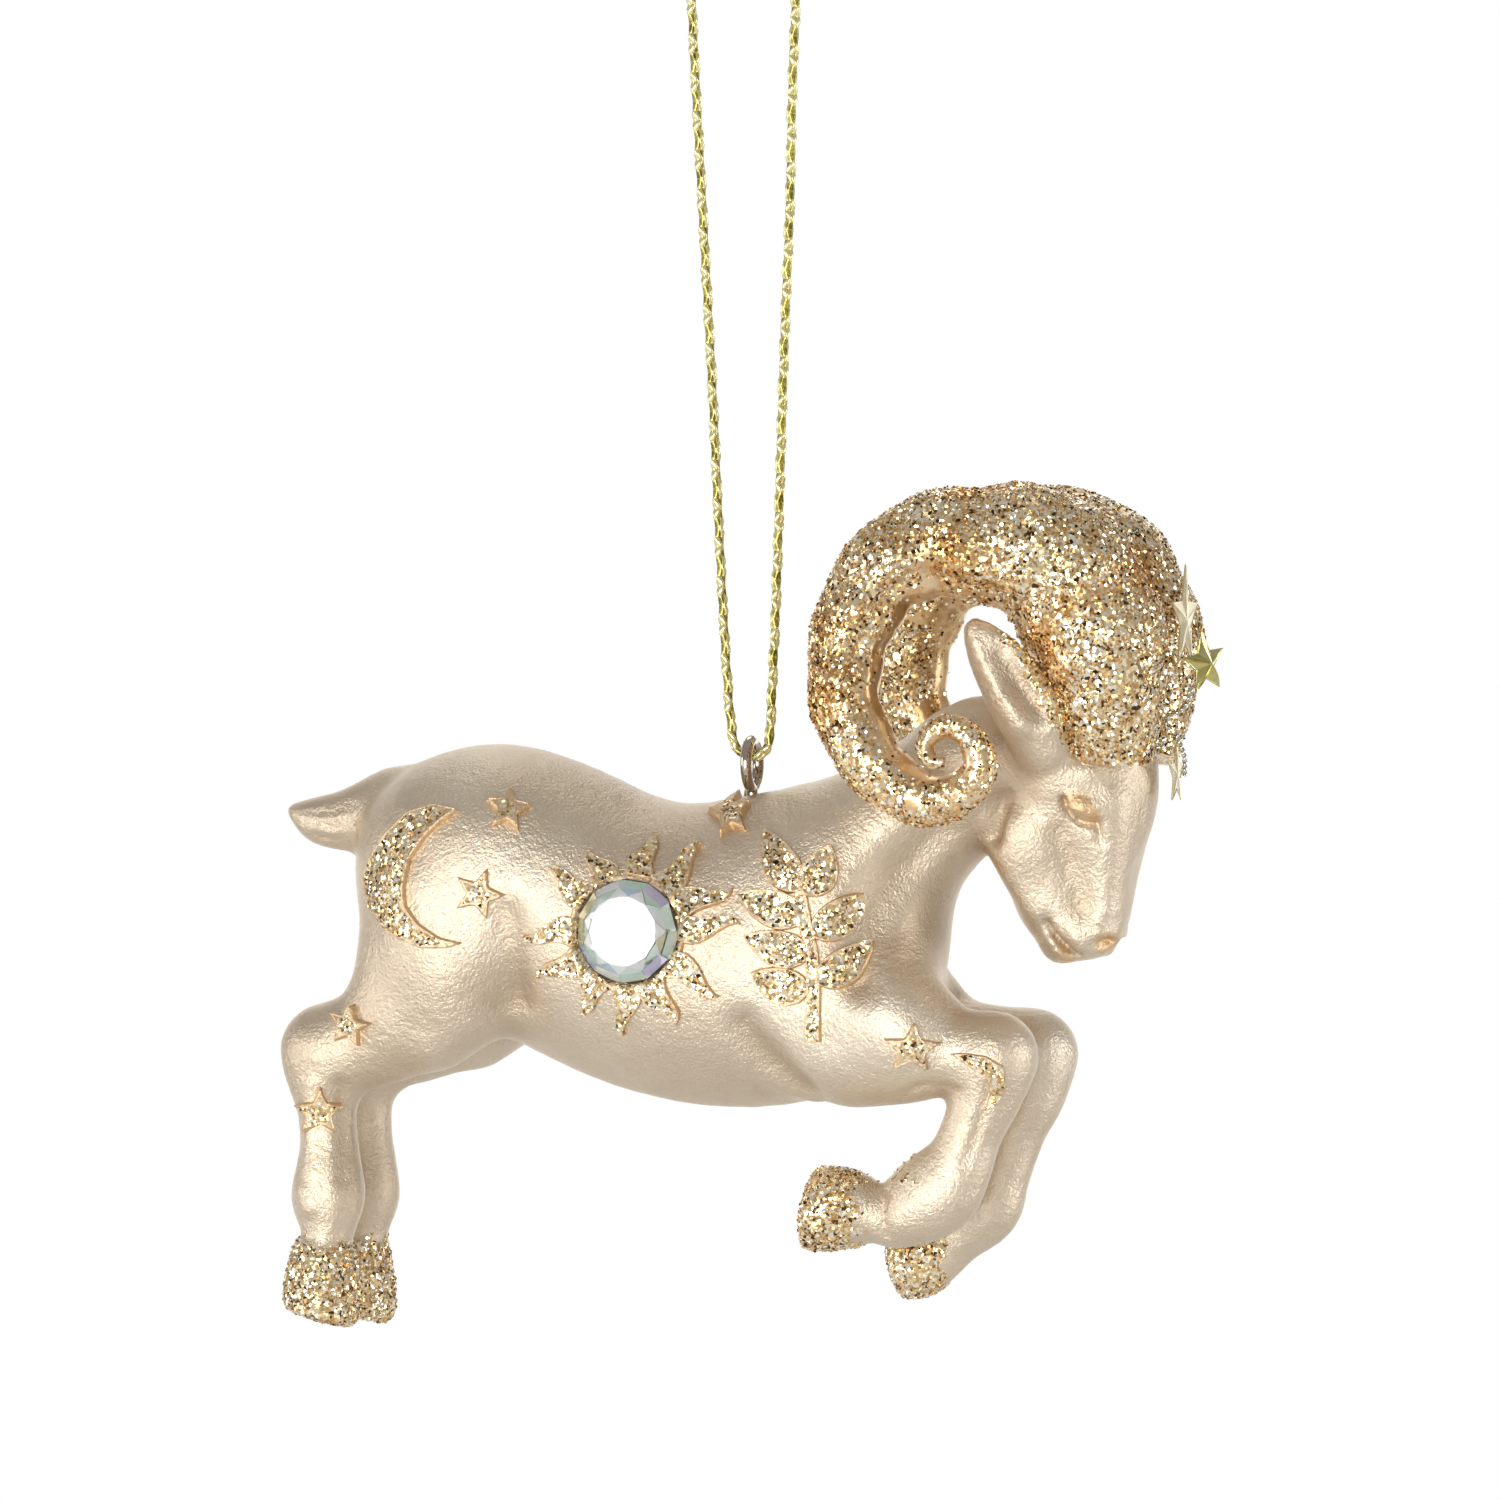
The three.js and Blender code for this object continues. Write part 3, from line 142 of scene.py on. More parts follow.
RELIEFS = {
    'star_rump': [[-21.57,-87.51],[-23.17,-87.43],[-21.91,-88.67],[-22.27,-90.19],[-20.87,-89.56],[-19.53,-90.58],[-19.89,-88.96],[-18.75,-88.06],[-20.33,-87.69],[-21.1,-86.12]],
    'star_hip': [[-23.42,-95.11],[-25.24,-94.64],[-24.34,-96.24],[-25.38,-97.78],[-23.5,-97.44],[-22.36,-98.85],[-22.09,-97.04],[-20.36,-96.38],[-22.04,-95.6],[-22.18,-93.78]],
    'star_hock': [[-37.36,-108.01],[-39.19,-107.88],[-37.94,-109.1],[-38.51,-110.54],[-36.97,-109.99],[-35.74,-111.01],[-35.74,-109.45],[-34.17,-108.63],[-35.91,-108.22],[-36.39,-106.7]],
    'star_shin': [[-40.85,-116.15],[-42.84,-116.32],[-41.38,-117.52],[-41.86,-119.3],[-40.24,-118.37],[-38.91,-119.3],[-39.23,-117.52],[-38.11,-116.32],[-39.54,-116.15],[-40.05,-114.48]],
    'star_saddle': [[-1.68,-88.19],[-3.2,-88.62],[-1.25,-89.47],[-0.82,-91.09],[0.19,-90.03],[2.01,-90.61],[0.87,-89.1],[1.45,-87.83],[-0.37,-87.97],[-0.84,-86.61]],
    'star_arm': [[18.19,-109.77],[16.15,-109.78],[17.54,-111.02],[16.8,-112.66],[18.71,-111.91],[20.24,-112.91],[20.1,-111.21],[21.7,-110.2],[19.75,-109.89],[19.07,-108.26]],
    'knee_moon': [[24.22,-112.57],[25.74,-113.52],[25.78,-115.05],[25.08,-116.95],[26.6,-115.81],[27.45,-114.1],[27.34,-112.38],[25.82,-111.43],[23.65,-111.14],[22.08,-111.24]],
    'moon': [[-25.35,-88.48],[-28.05,-88.0],[-30.64,-88.76],[-32.78,-90.86],[-34.57,-93.33],[-35.23,-95.05],[-34.35,-97.71],[-31.78,-100.19],[-28.63,-101.52],[-26.24,-101.52],[-24.44,-100.95],[-26.78,-100.38],[-28.78,-99.05],[-30.01,-97.43],[-30.18,-95.81],[-29.76,-93.14],[-28.44,-91.05],[-26.97,-89.62]],
    'stem': [[9.96,-110.29],[10.09,-105.71],[9.74,-101.9],[9.12,-99.14],[8.6,-96.48],[7.76,-94.86],[7.15,-96.48],[7.7,-99.24],[8.32,-102.1],[8.54,-105.81],[8.13,-110.29]],
    'leaf_1': [[7.94,-96.29],[8.38,-95.2],[8.33,-94.43],[8.08,-93.75],[7.72,-93.13],[7.24,-92.56],[6.72,-92.04],[6.1,-91.55],[5.39,-91.1],[4.61,-90.68],[3.64,-90.38],[3.51,-91.35],[3.55,-92.19],[3.65,-92.98],[3.86,-93.72],[4.15,-94.39],[4.54,-94.99],[5.06,-95.51],[5.72,-95.95],[6.55,-96.28]],
    'leaf_2': [[8.14,-96.57],[9.41,-96.66],[10.12,-96.43],[10.63,-96.1],[10.98,-95.68],[11.22,-95.18],[11.33,-94.62],[11.33,-93.99],[11.23,-93.31],[11.01,-92.57],[10.57,-91.71],[9.79,-91.92],[9.25,-92.23],[8.74,-92.58],[8.32,-92.96],[8.0,-93.38],[7.7,-93.85],[7.51,-94.36],[7.42,-94.93],[7.52,-95.6]],
    'leaf_3': [[8.83,-98.48],[8.4,-97.33],[7.79,-96.77],[7.12,-96.38],[6.42,-96.12],[5.69,-95.96],[4.93,-95.88],[4.15,-95.87],[3.34,-95.92],[2.52,-96.04],[1.68,-96.38],[2.23,-97.31],[2.85,-98.0],[3.45,-98.6],[4.09,-99.08],[4.76,-99.44],[5.45,-99.67],[6.18,-99.76],[6.96,-99.67],[7.82,-99.37]],
    'leaf_4': [[8.95,-100.48],[10.2,-100.89],[11.01,-100.84],[11.67,-100.63],[12.2,-100.29],[12.6,-99.83],[12.92,-99.28],[13.16,-98.63],[13.32,-97.9],[13.43,-97.08],[13.4,-96.1],[12.61,-96.11],[11.96,-96.29],[11.32,-96.53],[10.77,-96.82],[10.24,-97.16],[9.73,-97.56],[9.31,-98.04],[8.97,-98.61],[8.73,-99.32]],
    'leaf_5': [[9.18,-102.1],[8.74,-100.96],[8.18,-100.42],[7.57,-100.05],[6.92,-99.81],[6.22,-99.67],[5.51,-99.61],[4.79,-99.61],[4.05,-99.68],[3.29,-99.83],[2.46,-100.19],[2.94,-101.1],[3.48,-101.78],[4.03,-102.36],[4.62,-102.82],[5.23,-103.17],[5.89,-103.38],[6.62,-103.44],[7.37,-103.33],[8.18,-103.02]],
    'leaf_6': [[9.4,-104.86],[10.69,-105.35],[11.56,-105.35],[12.27,-105.18],[12.89,-104.86],[13.38,-104.43],[13.79,-103.88],[14.09,-103.24],[14.32,-102.5],[14.48,-101.68],[14.48,-100.67],[13.67,-100.63],[12.99,-100.77],[12.31,-100.98],[11.7,-101.23],[11.11,-101.55],[10.54,-101.93],[10.06,-102.39],[9.65,-102.95],[9.34,-103.66]],
    'leaf_7': [[9.13,-105.62],[8.84,-104.49],[8.36,-103.94],[7.81,-103.57],[7.21,-103.32],[6.61,-103.17],[5.96,-103.09],[5.3,-103.09],[4.63,-103.15],[3.93,-103.28],[3.13,-103.62],[3.46,-104.53],[3.85,-105.21],[4.3,-105.79],[4.79,-106.26],[5.32,-106.61],[5.93,-106.83],[6.58,-106.91],[7.32,-106.81],[8.11,-106.51]],
    'sun_1': [[-6.05,-95.28],[-6.38,-94.7],[-6.61,-94.14],[-6.74,-93.61],[-6.69,-93.1],[-6.59,-92.61],[-6.54,-92.11],[-6.61,-91.59],[-6.88,-91.04],[-7.72,-90.38],[-7.52,-90.92],[-7.72,-91.39],[-8.08,-91.82],[-8.53,-92.25],[-8.96,-92.67],[-9.31,-93.12],[-9.43,-93.61],[-9.38,-94.14],[-9.22,-94.69]],
    'sun_2': [[-4.66,-97.06],[-4.05,-96.75],[-3.53,-96.34],[-3.18,-95.78],[-2.97,-95.08],[-2.88,-94.28],[-2.84,-93.47],[-2.75,-92.72],[-2.53,-92.08],[-2.0,-91.71],[-3.09,-91.62],[-3.69,-91.92],[-4.13,-92.35],[-4.48,-92.88],[-4.81,-93.42],[-5.2,-93.91],[-5.73,-94.29],[-6.38,-94.56],[-7.09,-94.76]],
    'sun_3': [[-3.44,-99.56],[-2.99,-98.95],[-2.48,-98.42],[-1.9,-98.02],[-1.29,-97.75],[-0.59,-97.55],[0.08,-97.34],[0.66,-97.01],[1.19,-96.51],[1.41,-95.52],[0.86,-95.94],[0.11,-96.02],[-0.72,-95.96],[-1.58,-95.81],[-2.43,-95.69],[-3.22,-95.69],[-3.9,-95.87],[-4.47,-96.23],[-4.96,-96.71]],
    'sun_4': [[-3.82,-100.86],[-3.13,-101.07],[-2.4,-101.15],[-1.7,-101.04],[-0.97,-100.72],[-0.27,-100.27],[0.41,-99.8],[1.13,-99.42],[1.84,-99.19],[2.53,-99.33],[1.79,-98.56],[1.09,-98.32],[0.36,-98.28],[-0.34,-98.36],[-1.06,-98.46],[-1.76,-98.48],[-2.49,-98.35],[-3.21,-98.08],[-3.96,-97.72]],
    'sun_5': [[-5.62,-104.22],[-4.82,-104.25],[-4.07,-104.36],[-3.42,-104.59],[-2.84,-104.95],[-2.31,-105.38],[-1.76,-105.79],[-1.18,-106.1],[-0.47,-106.23],[0.54,-105.9],[-0.12,-105.69],[-0.57,-105.14],[-0.96,-104.47],[-1.27,-103.72],[-1.63,-102.99],[-2.08,-102.37],[-2.63,-101.92],[-3.26,-101.65],[-3.98,-101.49]],
    'sun_6': [[-7.69,-104.82],[-7.68,-105.43],[-7.53,-105.99],[-7.21,-106.46],[-6.68,-106.85],[-6.02,-107.17],[-5.35,-107.49],[-4.78,-107.85],[-4.36,-108.27],[-4.29,-108.86],[-3.75,-108.0],[-3.7,-107.38],[-3.87,-106.84],[-4.18,-106.35],[-4.48,-105.88],[-4.73,-105.36],[-4.85,-104.79],[-4.83,-104.15],[-4.73,-103.48]],
    'sun_7': [[-10.69,-104.94],[-10.34,-105.46],[-10.06,-105.99],[-9.96,-106.52],[-10.0,-107.06],[-10.16,-107.61],[-10.29,-108.15],[-10.3,-108.69],[-10.1,-109.22],[-9.33,-109.71],[-9.43,-109.18],[-9.11,-108.63],[-8.67,-108.06],[-8.13,-107.5],[-7.64,-106.93],[-7.28,-106.37],[-7.14,-105.82],[-7.22,-105.28],[-7.41,-104.76]],
    'sun_8': [[-12.27,-103.35],[-12.75,-103.6],[-13.12,-103.92],[-13.33,-104.37],[-13.4,-104.93],[-13.36,-105.57],[-13.33,-106.22],[-13.38,-106.82],[-13.55,-107.33],[-14.0,-107.62],[-13.05,-107.71],[-12.52,-107.48],[-12.15,-107.13],[-11.86,-106.71],[-11.61,-106.28],[-11.31,-105.89],[-10.87,-105.6],[-10.37,-105.39],[-9.76,-105.23]],
    'sun_9': [[-13.9,-100.6],[-14.23,-101.19],[-14.58,-101.7],[-15.03,-102.08],[-15.56,-102.34],[-16.13,-102.53],[-16.7,-102.74],[-17.19,-103.05],[-17.61,-103.54],[-17.83,-104.48],[-17.33,-104.08],[-16.69,-104.0],[-15.97,-104.05],[-15.23,-104.18],[-14.48,-104.29],[-13.82,-104.28],[-13.23,-104.11],[-12.73,-103.76],[-12.32,-103.31]],
    'sun_10': [[-13.46,-98.64],[-14.07,-98.41],[-14.68,-98.31],[-15.3,-98.41],[-15.9,-98.71],[-16.53,-99.14],[-17.17,-99.59],[-17.83,-99.95],[-18.45,-100.16],[-19.06,-100.0],[-18.53,-100.79],[-17.92,-101.05],[-17.28,-101.11],[-16.66,-101.05],[-16.05,-100.97],[-15.4,-100.96],[-14.82,-101.11],[-14.21,-101.4],[-13.61,-101.78]],
    'sun_11': [[-11.8,-95.22],[-12.44,-95.24],[-13.04,-95.18],[-13.58,-95.0],[-14.05,-94.7],[-14.47,-94.32],[-14.93,-93.97],[-15.43,-93.72],[-16.01,-93.63],[-16.83,-94.0],[-16.3,-94.17],[-15.92,-94.65],[-15.62,-95.26],[-15.38,-95.95],[-15.12,-96.62],[-14.78,-97.18],[-14.37,-97.57],[-13.85,-97.79],[-13.26,-97.9]],
    'sun_12': [[-9.76,-94.77],[-9.76,-94.33],[-9.88,-93.95],[-10.16,-93.63],[-10.65,-93.39],[-11.23,-93.19],[-11.8,-93.0],[-12.32,-92.78],[-12.71,-92.5],[-12.77,-92.1],[-13.24,-92.73],[-13.27,-93.17],[-13.11,-93.54],[-12.86,-93.87],[-12.62,-94.2],[-12.4,-94.55],[-12.35,-94.95],[-12.41,-95.4],[-12.56,-95.89]],
    'sun_ring': [[-3.03,-99.05],[-3.23,-98.31],[-3.5,-97.59],[-3.89,-96.9],[-4.4,-96.27],[-4.95,-95.7],[-5.58,-95.2],[-6.24,-94.78],[-6.95,-94.44],[-7.69,-94.2],[-8.41,-94.05],[-9.14,-94.0],[-9.88,-94.05],[-10.57,-94.2],[-11.21,-94.44],[-11.84,-94.78],[-12.39,-95.2],[-12.91,-95.7],[-13.33,-96.27],[-13.73,-96.9],[-14.01,-97.59],[-14.23,-98.31],[-14.38,-99.05],[-14.43,-99.81],[-14.38,-100.57],[-14.25,-101.31],[-14.04,-102.03],[-13.73,-102.71],[-13.33,-103.35],[-12.86,-103.92],[-12.31,-104.42],[-11.71,-104.84],[-11.02,-105.18],[-10.33,-105.42],[-9.58,-105.57],[-8.82,-105.62],[-8.04,-105.57],[-7.29,-105.42],[-6.54,-105.18],[-5.86,-104.84],[-5.2,-104.42],[-4.63,-103.92],[-4.1,-103.35],[-3.68,-102.71],[-3.34,-102.03],[-3.1,-101.31],[-2.98,-100.57],[-2.95,-99.81]],
}

CORD_ROUTE = [
    (-2.3, 0, -0.75), (-4.1, 0, -2.0), (-5.55, 0, -4.6), (-6.0, 0, -8.0), (-5.87, 0, -13.1), (-5.47, 0, -20.8),
    (-4.93, 0, -30.3), (-4.39, 0, -39.8), (-3.85, 0, -49.3), (-3.40, 0, -58.9), (-2.91, 0, -68.4), (-2.40, 0, -76.5),
    (-2.05, 0, -80.2), (-1.75, 0, -81.9), (-1.05, 0, -82.95), (0, 0, -83.3), (1.05, 0, -82.95), (1.68, 0, -81.9),
    (1.82, 0, -80.2), (2.0, 0, -76.5), (2.37, 0, -68.4), (2.70, 0, -58.9), (3.0, 0, -49.3), (3.35, 0, -39.8),
    (3.75, 0, -30.3), (3.94, 0, -20.8), (4.24, 0, -13.1), (4.45, 0, -8.0), (4.35, 0, -4.8), (3.45, 0, -2.1), (2.1, 0, -0.75)]
GEM_X, GEM_Z, GEM_SEAT_Y, GEM_R = -8.66, -99.81, 12.5, 5.0


# ------------------------------------------------------------------ helpers
def new_mesh(name, verts_mm, faces, smooth=True):
    me = bpy.data.meshes.new(name)
    v = np.asarray(verts_mm, dtype=np.float64) * MM
    me.from_pydata([], [], []) if len(v) == 0 else None
    f = np.asarray(faces)
    if f.ndim == 2 and len(v):
        n, k = f.shape
        me.vertices.add(len(v))
        me.vertices.foreach_set("co", v.astype(np.float32).ravel())
        me.loops.add(n * k)
        me.loops.foreach_set("vertex_index", f.astype(np.int32).ravel())
        me.polygons.add(n)
        me.polygons.foreach_set("loop_start", np.arange(0, n * k, k, dtype=np.int32))
        me.update(calc_edges=True)
    else:
        me.from_pydata([tuple(x) for x in v], [], [tuple(int(i) for i in q) for q in faces])
    me.validate(clean_customdata=False)
    if smooth:
        me.polygons.foreach_set("use_smooth", np.ones(len(me.polygons), dtype=bool))
    me.update()
    ob = bpy.data.objects.new(name, me)
    bpy.context.scene.collection.objects.link(ob)
    return ob


def attr(ob, name, values):
    a = ob.data.attributes.new(name, "FLOAT", "POINT")
    a.data.foreach_set("value", np.asarray(values, dtype=np.float32))


def catmull(pts, sub):
    pts = np.array(pts, float)
    n = len(pts)
    out = []
    for i in range(n - 1):
        p0, p1, p2, p3 = pts[max(i - 1, 0)], pts[i], pts[i + 1], pts[min(i + 2, n - 1)]
        for j in range(sub):
            t = j / sub
            out.append(0.5 * ((2 * p1) + (-p0 + p2) * t + (2 * p0 - 5 * p1 + 4 * p2 - p3) * t * t
                              + (-p0 + 3 * p1 - 3 * p2 + p3) * t ** 3))
    out.append(pts[-1])
    return np.array(out)


def smoothstep(x, a, b):
    t = np.clip((x - a) / (b - a), 0, 1)
    return t * t * (3 - 2 * t)


def lattice(p, seed):
    """Smooth value noise from -1 to 1 at points p."""
    i = np.floor(p).astype(np.int64)
    f = p - i
    f = f * f * (3 - 2 * f)
    out = np.zeros(len(p))
    for dx in (0, 1):
        for dy in (0, 1):
            for dz in (0, 1):
                h = (i[:, 0] + dx) * 374761393 + (i[:, 1] + dy) * 668265263 + (i[:, 2] + dz) * 2147483647 + seed * 974711
                h = (h ^ (h >> 13)) * 1274126177
                h = (h ^ (h >> 16)) & 0xFFFF
                w = (f[:, 0] if dx else 1 - f[:, 0]) * (f[:, 1] if dy else 1 - f[:, 1]) * (f[:, 2] if dz else 1 - f[:, 2])
                out += w * (h / 32767.5 - 1)
    return out


# ------------------------------------------------------------------ sculpted field
def prepare():
    out = []
    for kind, op, name, k, mirror, data in FORMS:
        if kind == "tube" and len(data) < 2:
            continue
        for s in ((1, -1) if mirror else (1,)):
            if kind == "tube":
                P = catmull(data, 4)
                P[:, 1] *= s
                out.append((kind, op, k, P))
            else:
                c = np.array(data[0], float)
                c[1] *= s
                out.append((kind, op, k, (c,) + tuple(data[1:])))
    return out


def seg_field(P, A, B):
    dx, dz = B[0] - A[0], B[2] - A[2]
    L = max(dx * dx + dz * dz, 1e-9)
    px, pz = P[..., 0] - A[0], P[..., 2] - A[2]
    t = np.clip((px * dx + pz * dz) / L, 0, 1)
    qx, qz = px - t * dx, pz - t * dz
    yc = A[1] + t * (B[1] - A[1])
    a = A[3] + t * (B[3] - A[3])
    b = A[4] + t * (B[4] - A[4])
    d2 = qx * qx + qz * qz
    dy2 = (P[..., 1] - yc) ** 2
    a2, b2 = a * a, b * b
    k0 = np.sqrt(d2 / a2 + dy2 / b2)
    k1 = np.sqrt(d2 / (a2 * a2) + dy2 / (b2 * b2))
    return np.where(k1 > 1e-6, k0 * (k0 - 1) / np.maximum(k1, 1e-6), -np.minimum(a, b))


def shape_field(P, s, near=None):
    kind, op, k, data = s
    if kind == "tube":
        best = np.full(P.shape[:-1], 1e3)
        for i in range(len(data) - 1):
            if near is None:
                best = np.minimum(best, seg_field(P, data[i], data[i + 1]))
            else:
                m = near[:, i]
                if m.any():
                    best[m] = np.minimum(best[m], seg_field(P[m], data[i], data[i + 1]))
        return best
    if kind == "ball":
        c, r = data
        q = P - c
        k0 = np.sqrt(((q / np.array(r)) ** 2).sum(-1))
        k1 = np.sqrt(((q / np.array(r) ** 2) ** 2).sum(-1))
        return np.where(k1 > 1e-6, k0 * (k0 - 1) / np.maximum(k1, 1e-6), -min(r))
    c, n, R = data
    q = P - c
    return np.maximum(-(q[..., 0] * n[0] + q[..., 2] * n[1]), np.sqrt((q * q).sum(-1)) - R)


def smin(a, b, k):
    h = np.maximum(k - np.abs(a - b), 0) / k
    return np.minimum(a, b) - h * h * k * 0.25


def field_at(P, shapes):
    f = np.full(P.shape[:-1], 1e3)
    for s in shapes:
        g = shape_field(P, s)
        f = smin(f, g, s[2]) if s[1] == "add" else -smin(-f, g, s[2])
    return f


def sculpt(lo, hi, h, shapes, block=8):
    lo = np.array(lo, float)
    nb = (np.ceil((np.array(hi) - lo) / h).astype(int) + block) // block
    n = nb * block + 1
    bc = np.stack(np.meshgrid(*[np.arange(m) for m in nb], indexing="ij"), -1).reshape(-1, 3)
    cen = lo + (bc * block + block / 2) * h
    rad = block * h * 0.5 * math.sqrt(3)
    fc = field_at(cen, shapes)
    F = np.full(n, 1.0, np.float32)
    for b in bc[fc <= -rad * 1.5 - h]:
        s = b * block
        F[s[0]:s[0] + block + 1, s[1]:s[1] + block + 1, s[2]:s[2] + block + 1] = -1
    sel = np.abs(fc) < rad * 1.5 + h
    act, cen, fc = bc[sel], cen[sel], fc[sel]
    off = np.stack(np.meshgrid(*[np.arange(block + 1)] * 3, indexing="ij"), -1).reshape(-1, 3)
    P = lo + (act[:, None, :] * block + off[None]) * h
    f = np.full(P.shape[:-1], 1e3)
    R = rad * 1.6
    for s in shapes:
        kind, op, k, data = s
        if kind == "tube":
            G = np.stack([seg_field(cen, data[i], data[i + 1]) for i in range(len(data) - 1)], 1)
            g = G.min(1)
        else:
            G, g = None, shape_field(cen, s)
        m = (g < np.maximum(fc, 0) + 2 * R + k) if op == "add" else (g < R + k)
        if not m.any():
            continue
        near = None if G is None else (G[m] < g[m][:, None] + 2 * R)
        val = shape_field(P[m], s, near)
        f[m] = smin(f[m], val, k) if op == "add" else -smin(-f[m], val, k)
    idx = act[:, None, :] * block + off[None]
    F[idx[..., 0], idx[..., 1], idx[..., 2]] = f
    return nets(F, lo, h)


def nets(F, lo, h):
    sgn = F < 0
    c = np.zeros(np.array(F.shape) - 1, np.int8)
    for dx in (0, 1):
        for dy in (0, 1):
            for dz in (0, 1):
                c += sgn[dx:dx + c.shape[0], dy:dy + c.shape[1], dz:dz + c.shape[2]]
    cells = np.argwhere((c > 0) & (c < 8))
    cid = np.full(c.shape, -1, np.int64)
    cid[cells[:, 0], cells[:, 1], cells[:, 2]] = np.arange(len(cells))
    acc = np.zeros((len(cells), 3))
    cnt = np.zeros(len(cells))
    corners = [(i, j, k) for i in (0, 1) for j in (0, 1) for k in (0, 1)]
    for ai, a in enumerate(corners):
        for b in corners[ai + 1:]:
            if sum(abs(x - y) for x, y in zip(a, b)) != 1:
                continue
            fa = F[cells[:, 0] + a[0], cells[:, 1] + a[1], cells[:, 2] + a[2]]
            fb = F[cells[:, 0] + b[0], cells[:, 1] + b[1], cells[:, 2] + b[2]]
            m = (fa < 0) != (fb < 0)
            t = np.where(m, fa / np.where(fa == fb, 1, fa - fb), 0)
            acc += (np.array(a)[None] + t[:, None] * (np.array(b) - np.array(a))[None]) * m[:, None]
            cnt += m
    V = lo + (cells + acc / cnt[:, None]) * h
    quads = []
    for ax, (o1, o2) in enumerate(((1, 2), (2, 0), (0, 1))):
        A = sgn[tuple(slice(0, -1) if i == ax else slice(1, -1) for i in range(3))]
        B = sgn[tuple(slice(1, None) if i == ax else slice(1, -1) for i in range(3))]
        e = np.argwhere(A != B)
        s = A[e[:, 0], e[:, 1], e[:, 2]]
        g = e.copy()
        for i in range(3):
            if i != ax:
                g[:, i] += 1

        def cell(d1, d2):
            q = g.copy()
            q[:, o1] -= d1
            q[:, o2] -= d2
            return cid[q[:, 0], q[:, 1], q[:, 2]]
        q = np.stack([cell(1, 1), cell(0, 1), cell(0, 0), cell(1, 0)], 1)
        q[~s] = q[~s][:, ::-1]
        quads.append(q)
    return V, np.concatenate(quads)


def neighbours(nv, Q):
    k = Q.shape[1]
    a = np.concatenate([Q[:, i] for i in range(k)] + [Q[:, (i + 1) % k] for i in range(k)])
    b = np.concatenate([Q[:, (i + 1) % k] for i in range(k)] + [Q[:, i] for i in range(k)])
    deg = np.bincount(a, minlength=nv).astype(float)

    def mean(X):
        if X.ndim == 1:
            return np.bincount(a, X[b], minlength=nv) / deg
        return np.stack([np.bincount(a, X[b, c], minlength=nv) / deg for c in range(X.shape[1])], 1)
    return mean


def normals(V, Q):
    n = np.cross(V[Q[:, 2]] - V[Q[:, 0]], V[Q[:, 3 if Q.shape[1] == 4 else 1]] - V[Q[:, 1 if Q.shape[1] == 4 else 0]])
    if Q.shape[1] == 3:
        n = np.cross(V[Q[:, 1]] - V[Q[:, 0]], V[Q[:, 2]] - V[Q[:, 0]])
    out = np.zeros_like(V)
    for i in range(Q.shape[1]):
        for c in range(3):
            out[:, c] += np.bincount(Q[:, i], n[:, c], minlength=len(V))
    return out / np.maximum(np.linalg.norm(out, axis=1), 1e-12)[:, None]


# ------------------------------------------------------------------ materials
def mat(name):
    m = bpy.data.materials.new(name)
    m.use_nodes = True
    nt = m.node_tree
    nt.nodes.clear()
    out = nt.nodes.new("ShaderNodeOutputMaterial")
    b = nt.nodes.new("ShaderNodeBsdfPrincipled")
    nt.links.new(b.outputs[0], out.inputs[0])
    return m, nt, b


def node(nt, kind, **k):
    n = nt.nodes.new(kind)
    for a, v in k.items():
        setattr(n, a, v)
    return n


def link(nt, a, b):
    nt.links.new(a, b)


def math_node(nt, op, a, b=None, clamp=False):
    n = node(nt, "ShaderNodeMath", operation=op, use_clamp=clamp)
    for i, x in enumerate((a, b)):
        if x is None:
            continue
        if isinstance(x, (int, float)):
            n.inputs[i].default_value = x
        else:
            link(nt, x, n.inputs[i])
    return n.outputs[0]


def ramp(nt, fac, stops, interp="LINEAR"):
    n = node(nt, "ShaderNodeValToRGB")
    n.color_ramp.interpolation = interp
    e = n.color_ramp.elements
    while len(e) < len(stops):
        e.new(0.5)
    for el, (p, c) in zip(e, stops):
        el.position = p
        el.color = (*c, 1) if len(c) == 3 else c
    link(nt, fac, n.inputs[0])
    return n.outputs[0]


def mix_col(nt, fac, a, b, mode="MIX"):
    n = node(nt, "ShaderNodeMix", data_type="RGBA", blend_type=mode)
    for sock, x in ((n.inputs[0], fac), (n.inputs[6], a), (n.inputs[7], b)):
        if isinstance(x, (int, float)):
            sock.default_value = x
        elif isinstance(x, tuple):
            sock.default_value = (*x, 1)
        else:
            link(nt, x, sock)
    return n.outputs[2]


def mix_val(nt, fac, a, b):
    n = node(nt, "ShaderNodeMix", data_type="FLOAT")
    for sock, x in ((n.inputs[0], fac), (n.inputs[2], a), (n.inputs[3], b)):
        if isinstance(x, (int, float)):
            sock.default_value = x
        else:
            link(nt, x, sock)
    return n.outputs[0]


def noise(nt, scale, detail=3, rough=0.5, coord=None):
    n = node(nt, "ShaderNodeTexNoise")
    n.inputs["Scale"].default_value = scale
    n.inputs["Detail"].default_value = detail
    n.inputs["Roughness"].default_value = rough
    if coord is not None:
        link(nt, coord, n.inputs["Vector"])
    return n.outputs["Fac"]


def obj_coord(nt):
    return node(nt, "ShaderNodeTexCoord").outputs["Object"]


def attribute(nt, name):
    return node(nt, "ShaderNodeAttribute", attribute_name=name).outputs["Fac"]


FLAKE_TONES = ((0.0, (0.05, 0.025, 0.010)), (0.08, (0.16, 0.085, 0.035)), (0.10, (0.58, 0.36, 0.14)), (0.40, (0.82, 0.58, 0.28)),
               (0.62, (0.95, 0.78, 0.48)), (0.80, (1.0, 0.93, 0.74)), (1.0, (1.0, 1.0, 0.95)))


